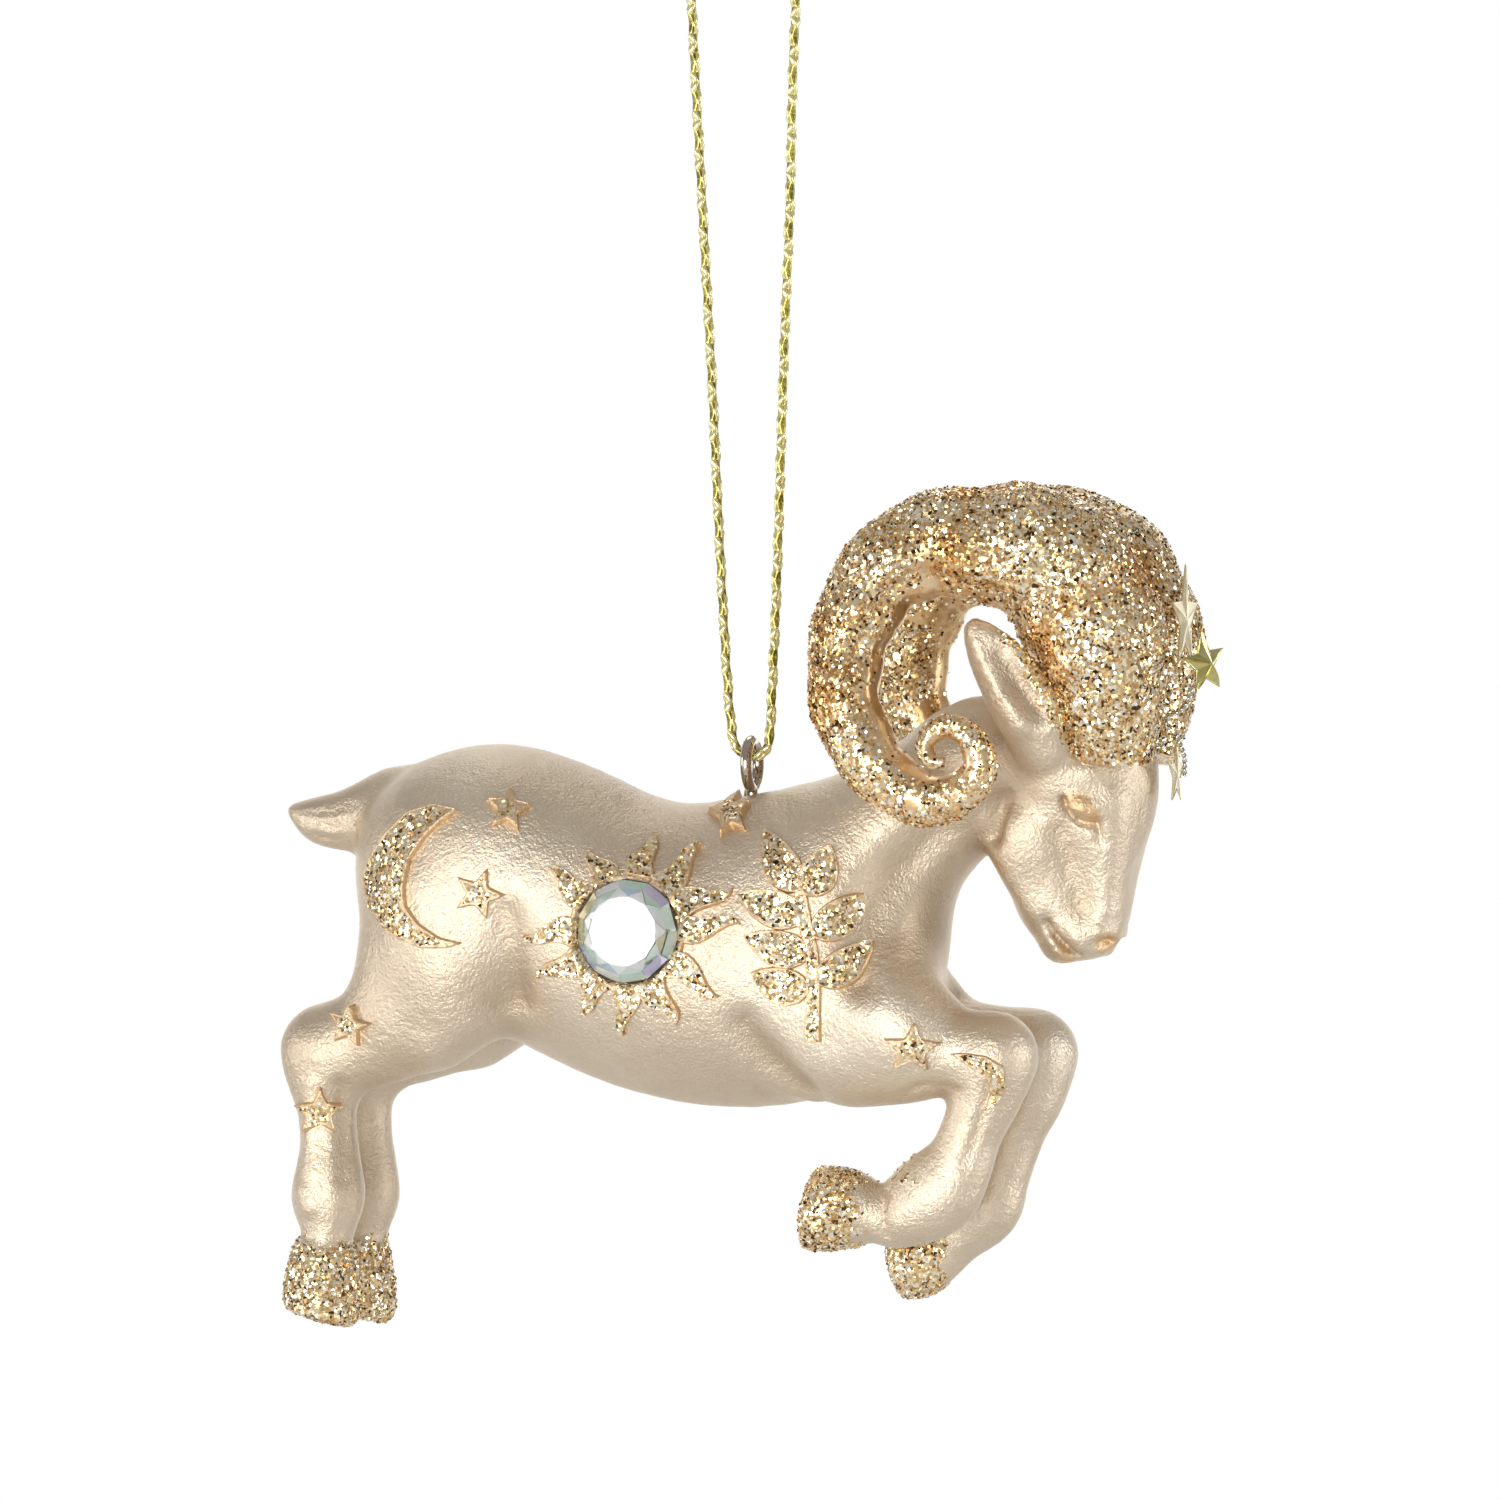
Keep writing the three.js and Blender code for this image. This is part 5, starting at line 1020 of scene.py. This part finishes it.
def braid(path, step, r0, amp, strand, pitch, count, seg, taper=None):
    """Strands plaited over and under one another round a centreline, painted brighter where they pass over and darker
    where they pass under, round a core painted dark as shade.
    """
    C, s = even(path, step)
    _, _, (P, U, W) = tube(C, 1.0, 3)
    parts, strand_painted_light = [], []
    for d in (1, -1):
        for q in range(count):
            ph = d * 2 * math.pi * s / pitch + 2 * math.pi * q / count + (math.pi / count if d < 0 else 0)
            R = r0 + d * amp * np.cos(count * 2 * math.pi * s / pitch + (0 if q % 2 == 0 else math.pi))
            if taper is not None:
                R = R * taper(s / s[-1])
            line = P + R[:, None] * (np.cos(ph)[:, None] * U + np.sin(ph)[:, None] * W)
            v, f, _ = tube(line, strand, seg)
            parts.append((v, f))
            # painted light: a strand is painted bright where it passes over and dark where it passes under
            over = 0.5 + 0.8 * d * np.cos(count * 2 * math.pi * s / pitch + (0 if q % 2 == 0 else math.pi))
            strand_painted_light.append(np.repeat(0.06 + 0.90 * np.clip(over, 0, 1), seg))
    # the core shows in the gaps between the strands and is painted dark as shade
    core, f, _ = tube(C, r0 * 0.8, 8)
    parts.append((core, f))
    strand_painted_light.append(np.zeros(len(core)))
    return C, s, parts, strand_painted_light


def metal_mat(name, stops, rough, scale, bump_mm, metallic=1.0, use_painted_light_tone=False, aniso=0.0):
    m, nt, b = mat(name)
    co = obj_coord(nt)
    n = noise(nt, scale, 4, 0.6, co)
    # where asked, the colour follows the tone attribute, which carries painted light: bright over-strands, dark
    # under-strands and core
    if use_painted_light_tone:
        n2 = math_node(nt, "ADD", math_node(nt, "MULTIPLY", n, 0.45), math_node(nt, "MULTIPLY", attribute(nt, "tone_and_painted_light"), 0.62))
    else:
        n2 = n
    link(nt, ramp(nt, n2, stops), b.inputs["Base Color"])
    link(nt, mix_val(nt, noise(nt, scale * 2.3, 3, 0.6, co), rough[0], rough[1]), b.inputs["Roughness"])
    link(nt, bump(nt, noise(nt, scale * 1.7, 3, 0.5, co), 0.4, bump_mm), b.inputs["Normal"])
    b.inputs["Metallic"].default_value = metallic
    b.inputs["Anisotropic"].default_value = aniso
    return m


# ------------------------------------------------------------------ hanging cord and knot
CORD_LOOP = [(-1.25, 0, -0.25)] + [tuple(p) for p in CORD_ROUTE] + [(1.25, 0, -0.25)]
STEP = 0.125
C, s, parts, strand_painted_light = braid(CORD_LOOP, STEP, 0.215, 0.07, 0.25, 3.7, 2, 8)
# the dark end of these colours is painted shade on the under-strands and the core, the bright end painted highlight on
# the over-strands
MAT_CORD = metal_mat("gold_cord", [(0.0, (0.06, 0.05, 0.012)), (0.20, (0.16, 0.135, 0.03)), (0.34, (0.55, 0.48, 0.14)), (0.62, (0.82, 0.74, 0.30)), (1.0, (1.0, 0.96, 0.62))],
                     (0.22, 0.42), 700, 0.05, 0.85, use_painted_light_tone=True, aniso=0.3)
cord_ob = build("hanging_cord_braid", parts, {"tone_and_painted_light": strand_painted_light})
finish_piece(cord_ob, "cord", ["hanging_cord"], MAT_CORD)

kp = []
for i in range(61):
    t = 2 * math.pi * i / 60
    kp.append((0.44 * (math.sin(t) + 2 * math.sin(2 * t)), 0.34 * (math.cos(t) - 2 * math.cos(2 * t)), -0.15 - 0.75 * math.sin(3 * t)))
# the knot and its tails carry the same painted highlight and shade on their strands
kC, ks, kparts, knot_painted_light = braid(kp, 0.09, 0.21, 0.065, 0.22, 3.4, 2, 8)
for tail in ([(0.3, 0.2, 0.3), (1.0, 0.6, 1.3), (2.2, 1.0, 2.9), (3.3, 1.3, 4.0), (3.55, 1.4, 4.25)],
             [(-0.3, -0.3, 0.3), (-0.9, -0.8, 1.4), (-1.9, -1.2, 3.2), (-2.7, -1.4, 4.4), (-2.95, -1.5, 4.7)]):
    c, s2, p, t = braid(tail, 0.1, 0.20, 0.065, 0.21, 3.7, 2, 8, taper=lambda q: 1 + 0.55 * np.clip((q - 0.82) / 0.18, 0, 1) ** 2)
    kparts += p
    knot_painted_light += t
knot_ob = build("cord_knot_tied", kparts, {"tone_and_painted_light": knot_painted_light})
finish_piece(knot_ob, "cord", ["cord_knot"], MAT_CORD)

# ------------------------------------------------------------------ screw eye
MAT_EYE = metal_mat("eye_metal", [(0.25, (0.40, 0.34, 0.28)), (0.5, (0.54, 0.47, 0.40)), (0.8, (0.68, 0.62, 0.56))], (0.07, 0.17), 300, 0.02)
th = np.linspace(0, 2 * math.pi, 97)[:-1]
a0 = -math.pi / 2 + 0.10
gap = np.linspace(a0 + 0.06, a0 + 2 * math.pi - 0.06, 120)
ringp = np.stack([0.0 * gap + 0.0, 2.25 * np.cos(gap), -84 + 2.25 * np.sin(gap)], 1)
rad = 0.55 * (1 - 0.12 * np.exp(-((gap - gap[0]) / 0.12) ** 2) - 0.12 * np.exp(-((gap - gap[-1]) / 0.12) ** 2))
rv, rf, _ = tube(ringp, rad, 24)


def cap(center_i, seg, v):
    return None


def lathe(profile, seg, twist=0.0):
    pr = np.array(profile, float)
    t = np.arange(seg) * 2 * math.pi / seg
    X = np.stack([pr[:, 0][:, None] * np.cos(t)[None], pr[:, 0][:, None] * np.sin(t)[None], np.broadcast_to(pr[:, 1][:, None], (len(pr), seg))], -1)
    m = len(pr)
    i, j = np.meshgrid(np.arange(m - 1), np.arange(seg), indexing="ij")
    i, j = i.ravel(), j.ravel()
    return X.reshape(-1, 3), np.stack([i * seg + j, i * seg + (j + 1) % seg, (i + 1) * seg + (j + 1) % seg, (i + 1) * seg + j], 1)


zs = np.arange(-93.4, -86.05, 0.05)
t = np.arange(28) * 2 * math.pi / 28
ZZ, TT = np.meshgrid(zs, t, indexing="ij")
thread = 0.5 + 0.5 * np.cos(2 * math.pi * (ZZ / 0.9) - TT)
thr_on = smoothstep(-88.2 - ZZ, 0, 0.6)
RR = 0.55 + thr_on * (0.22 * thread ** 1.5 - 0.05)
RR = RR * np.clip((ZZ + 93.5) / 0.9, 0.12, 1)
sx = np.stack([RR * np.cos(TT), RR * np.sin(TT), ZZ], -1).reshape(-1, 3)
g = 28
i, j = np.meshgrid(np.arange(len(zs) - 1), np.arange(g), indexing="ij")
i, j = i.ravel(), j.ravel()
sf = np.stack([i * g + j, i * g + (j + 1) % g, (i + 1) * g + (j + 1) % g, (i + 1) * g + j], 1)
eye_ob = build("screw_eye_plated", [(rv, rf), (sx, sf)], {"tone_and_painted_light": [0, 0]})
finish_piece(eye_ob, "ram", ["screw_eye"], MAT_EYE)

# ------------------------------------------------------------------ set gems
m, nt, b = mat("acrylic_gem")
co = obj_coord(nt)
gn = noise(nt, 150, 3, 0.5, co)
link(nt, ramp(nt, gn, [(0.3, (0.93, 0.98, 0.97)), (0.55, (0.99, 1.0, 1.0)), (0.8, (0.95, 0.96, 1.0))]), b.inputs["Base Color"])
link(nt, mix_val(nt, noise(nt, 2500, 2, 0.5, co), 0.0, 0.03), b.inputs["Roughness"])
b.inputs["Transmission Weight"].default_value = 1.0
b.inputs["IOR"].default_value = 1.49
MAT_GEM = m
m, nt, b = mat("gem_foil_painted_reflections")
co = obj_coord(nt)
tone_and_painted_light = attribute(nt, "tone_and_painted_light")
# painted reflections: one flat tint per facet, white and pale colours as reflected light, grey as painted shade
foil = ramp(nt, math_node(nt, "ADD", tone_and_painted_light, math_node(nt, "MULTIPLY", math_node(nt, "SUBTRACT", noise(nt, 400, 2, 0.5, co), 0.5), 0.15)), [
    (0.0, (1.0, 1.0, 1.0)), (0.14, (0.92, 1.0, 0.98)), (0.28, (0.62, 0.76, 0.93)), (0.38, (0.80, 0.77, 0.52)), (0.48, (0.70, 0.87, 0.77)),
    (0.58, (0.74, 0.69, 0.92)), (0.68, (0.50, 0.52, 0.46)), (0.78, (0.88, 1.0, 0.92)), (1.0, (1.0, 1.0, 1.0))], "CONSTANT")
link(nt, foil, b.inputs["Base Color"])
link(nt, mix_val(nt, noise(nt, 900, 2, 0.5, co), 0.10, 0.22), b.inputs["Roughness"])
b.inputs["Metallic"].default_value = 0.20
MAT_FOIL_PAINTED_REFLECTIONS = m


def gem(side):
    n = 16
    y0 = GEM_SEAT_Y + 0.3
    rows = [(4.98, y0 + 0.05, 0.0), (5.0, y0 + 0.45, 0.0), (4.35, y0 + 1.35, 0.5), (3.35, y0 + 2.38, 0.0)]
    pos = []
    for r, y, o in rows:
        for i in range(n):
            a = 2 * math.pi * (i + o) / n
            pos.append((GEM_X + r * math.cos(a), side * y, GEM_Z + r * math.sin(a)))
    tri = []
    for i in range(n):
        j = (i + 1) % n
        tri += [(i, j, n + j), (i, n + j, n + i)]
        A, B = n + i, n + j
        c, cp = 2 * n + i, 2 * n + (i - 1) % n
        tri += [(A, B, c), (A, c, cp)]
        E, Fp = 3 * n + i, 3 * n + j
        tri += [(c, 3 * n + j, 3 * n + i), (cp, c, 3 * n + i)]
    top = len(pos)
    pos.append((GEM_X, side * (y0 + 2.62), GEM_Z))
    bot = len(pos)
    pos.append((GEM_X, side * (y0 + 0.05), GEM_Z))
    tab = [3 * n + i for i in range(n)]
    tri += [(tab[i], tab[(i + 1) % n], top) for i in range(n)]
    tri += [(bot, i, (i + 1) % n) for i in range(n)]
    pos = np.array(pos)
    tri = np.array(tri)
    c = pos.mean(0)
    nn = np.cross(pos[tri[:, 1]] - pos[tri[:, 0]], pos[tri[:, 2]] - pos[tri[:, 0]])
    fl = ((pos[tri].mean(1) - c) * nn).sum(1) < 0
    tri[fl] = tri[fl][:, ::-1]
    nmr = "right" if side < 0 else "left"
    ob = build("gem_%s_faceted" % nmr, [(pos, tri)], {"tone_and_painted_light": [0]}, smooth=False)
    finish_piece(ob, "ram", ["gem_right" if side < 0 else "gem_left"], MAT_GEM)
    # silvering just under the crown, with painted reflections: every facet is painted its own reflected tint, and the
    # table is painted the brightest as a painted highlight
    fp, ft, facet_reflection_tint = [], [], []
    gen = np.random.default_rng(17 if side < 0 else 23)
    # painted reflection tint of each outer facet
    painted_reflection_tints = [0.80, 0.60, 0.50, 0.05, 0.42, 0.42, 0.32, 0.20, 0.50, 0.60, 0.82, 0.20, 0.60, 0.32, 0.80, 0.50]

    def facet(corners, reflection_tint, tilt):
        k = len(fp)
        cy = sum(p[1] for p in corners) / len(corners)
        for (x, y, z) in corners:
            dx, dz = x - GEM_X, z - GEM_Z
            fp.append((x, y + side * tilt * (dx * 0.10), z))
            facet_reflection_tint.append(reflection_tint)
        ft.append(tuple(range(k, k + len(corners))))

    def ringpt(r, i, o, y):
        a = 2 * math.pi * (i + o) / n
        return (GEM_X + r * math.cos(a), side * y, GEM_Z + r * math.sin(a))
    n = 11
    for i in range(n):
        out_y, mid_y, tab_y = y0 + 0.46, y0 + 1.30, y0 + 1.95
        facet([ringpt(4.88, i, 0, out_y), ringpt(4.88, i + 1, 0, out_y), ringpt(4.1, i + 1, 0.0, mid_y), ringpt(4.1, i, 0.0, mid_y)], painted_reflection_tints[i], gen.normal(0, 0.5))
        facet([ringpt(4.1, i, 0.0, mid_y), ringpt(4.1, i + 1, 0.0, mid_y), ringpt(3.25, i, 0.5, tab_y)], painted_reflection_tints[(i * 5 + 3) % 16], gen.normal(0, 0.4))
        facet([ringpt(4.1, i + 1, 0.0, mid_y), ringpt(3.25, i + 1, 0.5, tab_y), ringpt(3.25, i, 0.5, tab_y)], 0.05 if i % 3 else 0.2, gen.normal(0, 0.3))
        facet([ringpt(3.25, i, 0.5, tab_y), ringpt(3.25, i + 1, 0.5, tab_y), (GEM_X, side * (tab_y + 0.03), GEM_Z)], 0.0, 0.0)
    fp, facet_reflection_tint = np.array(fp), np.array(facet_reflection_tint)
    groups, group_reflection_tint = [], []
    for size in (3, 4):
        sel = [t for t in ft if len(t) == size]
        ids = np.array(sel).ravel()
        groups.append((fp[ids], np.arange(len(ids)).reshape(-1, size)))
        group_reflection_tint.append(facet_reflection_tint[ids])
    fo = build("gem_%s_silvering" % nmr, groups, {"tone_and_painted_light": group_reflection_tint}, smooth=False)
    finish_piece(fo, "ram", [], MAT_FOIL_PAINTED_REFLECTIONS)


gem(-1)
gem(1)

# ------------------------------------------------------------------ foil stars and wires
MAT_CREAM = metal_mat("foil_cream", [(0.25, (0.72, 0.56, 0.28)), (0.5, (0.86, 0.76, 0.50)), (0.8, (0.94, 0.88, 0.70))], (0.20, 0.36), 260, 0.10, 0.88)
MAT_OLIVE = metal_mat("foil_olive", [(0.25, (0.40, 0.34, 0.10)), (0.5, (0.62, 0.56, 0.22)), (0.8, (0.86, 0.82, 0.50))], (0.12, 0.28), 300, 0.10, 0.95)
MAT_WIRE = metal_mat("garland_wire", [(0.25, (0.55, 0.53, 0.46)), (0.5, (0.72, 0.71, 0.64)), (0.8, (0.90, 0.89, 0.82))], (0.12, 0.26), 500, 0.02)


def foil_star(R, ratio, t, rise, lip, rx=0.0, rz=0.0, at=(0, 0, 0)):
    """A stamped star of thin foil facing +X: a ridge along each arm, a turned lip at the edge."""
    K = 14
    P = []
    for i in range(10):
        r = R if i % 2 == 0 else R * ratio
        a = math.pi / 2 + math.pi * i / 5
        P.append((r * math.cos(a), r * math.sin(a)))
    P = np.array(P)
    O = []
    for i in range(10):
        for q in range(6):
            O.append(P[i] + (P[(i + 1) % 10] - P[i]) * q / 6)
    O = np.array(O)
    n = len(O)
    pos, idx = [], []
    for face in (1, -1):
        for q in range(K + 1):
            f = 1 - q / K
            for i in range(n):
                arm = (i % 12) / 12.0
                ridge = abs(2 * arm - 1)                # 1 at a tip direction, 0 in a notch
                h = rise * (1 - f) ** 0.9 * 1.0 + 0.25 * rise * ridge ** 6 * (1 - f) * f * 4 + lip * max(0, 1 - (1 - f) / 0.08)
                pos.append((h + face * t / 2, O[i][0] * f, O[i][1] * f))
    for face in (0, 1):
        off = face * (K + 1) * n
        for q in range(K):
            for i in range(n):
                j = (i + 1) % n
                quad = (off + q * n + i, off + q * n + j, off + (q + 1) * n + j, off + (q + 1) * n + i)
                idx.append(quad if face == 0 else quad[::-1])
    off = (K + 1) * n
    for i in range(n):
        j = (i + 1) % n
        idx.append((j, i, off + i, off + j))
    X = np.array(pos)
    X = X + 0.03 * noise3(X + np.array(at), 0.9, 71)[:, None] * np.array([1, 0, 0])
    cx, sx_ = math.cos(rx), math.sin(rx)
    X = np.stack([X[:, 0], X[:, 1] * cx - X[:, 2] * sx_, X[:, 1] * sx_ + X[:, 2] * cx], 1)
    cz, sz = math.cos(rz), math.sin(rz)
    X = np.stack([X[:, 0] * cz - X[:, 1] * sz, X[:, 0] * sz + X[:, 1] * cz, X[:, 2]], 1)
    return X + np.array(at), np.array(idx)


for nm, body, repl, sl, mt, args in (
        ("star_large_foil", "ram", "star_large", "foil_cream", MAT_CREAM, dict(R=5.3, ratio=0.42, t=0.14, rise=0.22, lip=0.10, at=(42.35, 0, -70.4))),
        ("star_medium_foil", "ram", "star_medium", "foil_olive", MAT_OLIVE, dict(R=3.2, ratio=0.45, t=0.14, rise=1.0, lip=0.08, rx=0.18, rz=-25 * math.pi / 180, at=(44.2, 0, -74.5))),
        ("star_small_foil", "dangle", "star_small", "foil_cream", MAT_CREAM, dict(R=3.05, ratio=0.45, t=0.14, rise=0.12, lip=0.08, at=(41.5, 0, -84.95)))):
    v, f = foil_star(**args)
    ob = build(nm, [(v, f)], {"tone_and_painted_light": [0.5]}, smooth=False)
    finish_piece(ob, body, [repl], mt)


def twisted(path, r_off, r, pitch, step=0.07):
    C, s = even(path, step)
    _, _, (P, U, W) = tube(C, 1.0, 3)
    parts = []
    for q in (0, 1):
        ph = 2 * math.pi * s / pitch + math.pi * q
        v, f, _ = tube(P + r_off * (np.cos(ph)[:, None] * U + np.sin(ph)[:, None] * W), r, 10)
        parts.append((v, f))
    return parts


gw = twisted([(43.0, -0.1, -76.9), (42.7, -0.5, -78.3), (41.6, -0.3, -79.1), (40.75, 0.2, -79.4), (40.55, 0.3, -80.3), (41.3, 0.1, -80.5)], 0.15, 0.14, 1.3)
ob = build("garland_wire_twisted", gw, {"tone_and_painted_light": [0.5] * len(gw)})
finish_piece(ob, "ram", ["garland_wire"], MAT_WIRE)
dw = twisted([(41.5, 0, -81.2), (41.95, 0, -82.2), (42.35, 0, -83.4), (42.35, 0, -85.2)], 0.13, 0.12, 1.1)
ob = build("dangle_wire_twisted", dw, {"tone_and_painted_light": [0.5] * len(dw)})
finish_piece(ob, "dangle", ["dangle_wire"], MAT_WIRE)


# ------------------------------------------------------------------ studio
def plane(name, corners, material):
    me = bpy.data.meshes.new(name)
    me.from_pydata([tuple(c) for c in corners], [], [(0, 1, 2, 3)])
    me.materials.append(material)
    ob = bpy.data.objects.new(name, me)
    bpy.context.scene.collection.objects.link(ob)
    return ob


fl = Vector((0, 0, -0.34))
mfl = bpy.data.materials.new("floor_pale")
mfl.use_nodes = True
mfl.node_tree.nodes["Principled BSDF"].inputs["Base Color"].default_value = (0.90, 0.89, 0.875, 1)
mfl.node_tree.nodes["Principled BSDF"].inputs["Roughness"].default_value = 0.8
floor = plane("floor", [fl + Vector((-0.9, -0.9, 0)), fl + Vector((0.9, -0.9, 0)), fl + Vector((0.9, 0.9, 0)), fl + Vector((-0.9, 0.9, 0))], mfl)

world = bpy.data.worlds.new("studio")
bpy.context.scene.world = world
world.use_nodes = True
wn = world.node_tree
bg = wn.nodes["Background"]
tc = wn.nodes.new("ShaderNodeTexCoord")
sp = wn.nodes.new("ShaderNodeSeparateXYZ")
wn.links.new(tc.outputs["Generated"], sp.inputs[0])
mr = wn.nodes.new("ShaderNodeMapRange")
mr.inputs[1].default_value = -1
mr.inputs[2].default_value = 1
wn.links.new(sp.outputs["Z"], mr.inputs[0])
cr = wn.nodes.new("ShaderNodeValToRGB")
els = cr.color_ramp.elements
els[0].position, els[0].color = 0.0, (0.40, 0.375, 0.34, 1)
els[1].position, els[1].color = 1.0, (0.36, 0.345, 0.33, 1)
for p, q in ((0.35, (0.33, 0.31, 0.285, 1)), (0.5, (0.42, 0.405, 0.385, 1)), (0.68, (0.33, 0.32, 0.305, 1))):
    e = els.new(p)
    e.color = q
wn.links.new(mr.outputs[0], cr.inputs[0])
wn.links.new(cr.outputs[0], bg.inputs[0])
bg.inputs[1].default_value = 1.0
# the surroundings light the object, and the plain background behind it is white from every side
white = wn.nodes.new("ShaderNodeBackground")
white.inputs[0].default_value = (1, 1, 1, 1)
white.inputs[1].default_value = 1.0
lp = wn.nodes.new("ShaderNodeLightPath")
mx = wn.nodes.new("ShaderNodeMixShader")
wn.links.new(lp.outputs["Is Camera Ray"], mx.inputs[0])
wn.links.new(bg.outputs[0], mx.inputs[1])
wn.links.new(white.outputs[0], mx.inputs[2])
wn.links.new(mx.outputs[0], wn.nodes["World Output"].inputs[0])


def softbox(name, pos, aim, sx, sy, power, col=(1, 1, 1)):
    d = bpy.data.lights.new(name, "AREA")
    d.shape = "RECTANGLE"
    d.size, d.size_y = sx, sy
    d.energy = power
    d.color = col
    o = bpy.data.objects.new(name, d)
    o.location = pos
    o.rotation_euler = (Vector(aim) - Vector(pos)).to_track_quat("-Z", "Y").to_euler()
    bpy.context.scene.collection.objects.link(o)
    return o


c0 = Vector((0, 0, -0.09))
softbox("key", c0 - into * 1.25 - right * 0.42 + Vector((0, 0, -0.02)), c0, 0.95, 0.60, 12.3, (1, 0.99, 0.975))
softbox("left_fill", c0 - right * 1.15 - into * 0.05 + Vector((0, 0, 0.0)), c0, 0.30, 0.7, 3.2)
softbox("right_fill", c0 + right * 1.15 - into * 0.15 + Vector((0, 0, 0.05)), c0, 0.30, 0.7, 4.2)
rim = softbox("back_screen", into * 0.9 + Vector((0, 0, -0.05)), c0, 1.24, 1.0, 4.1)
rim.visible_camera = False
softbox("top_back", c0 + Vector((0, 0, 1.0)) + into * 0.7, c0, 0.6, 0.4, 1.6)
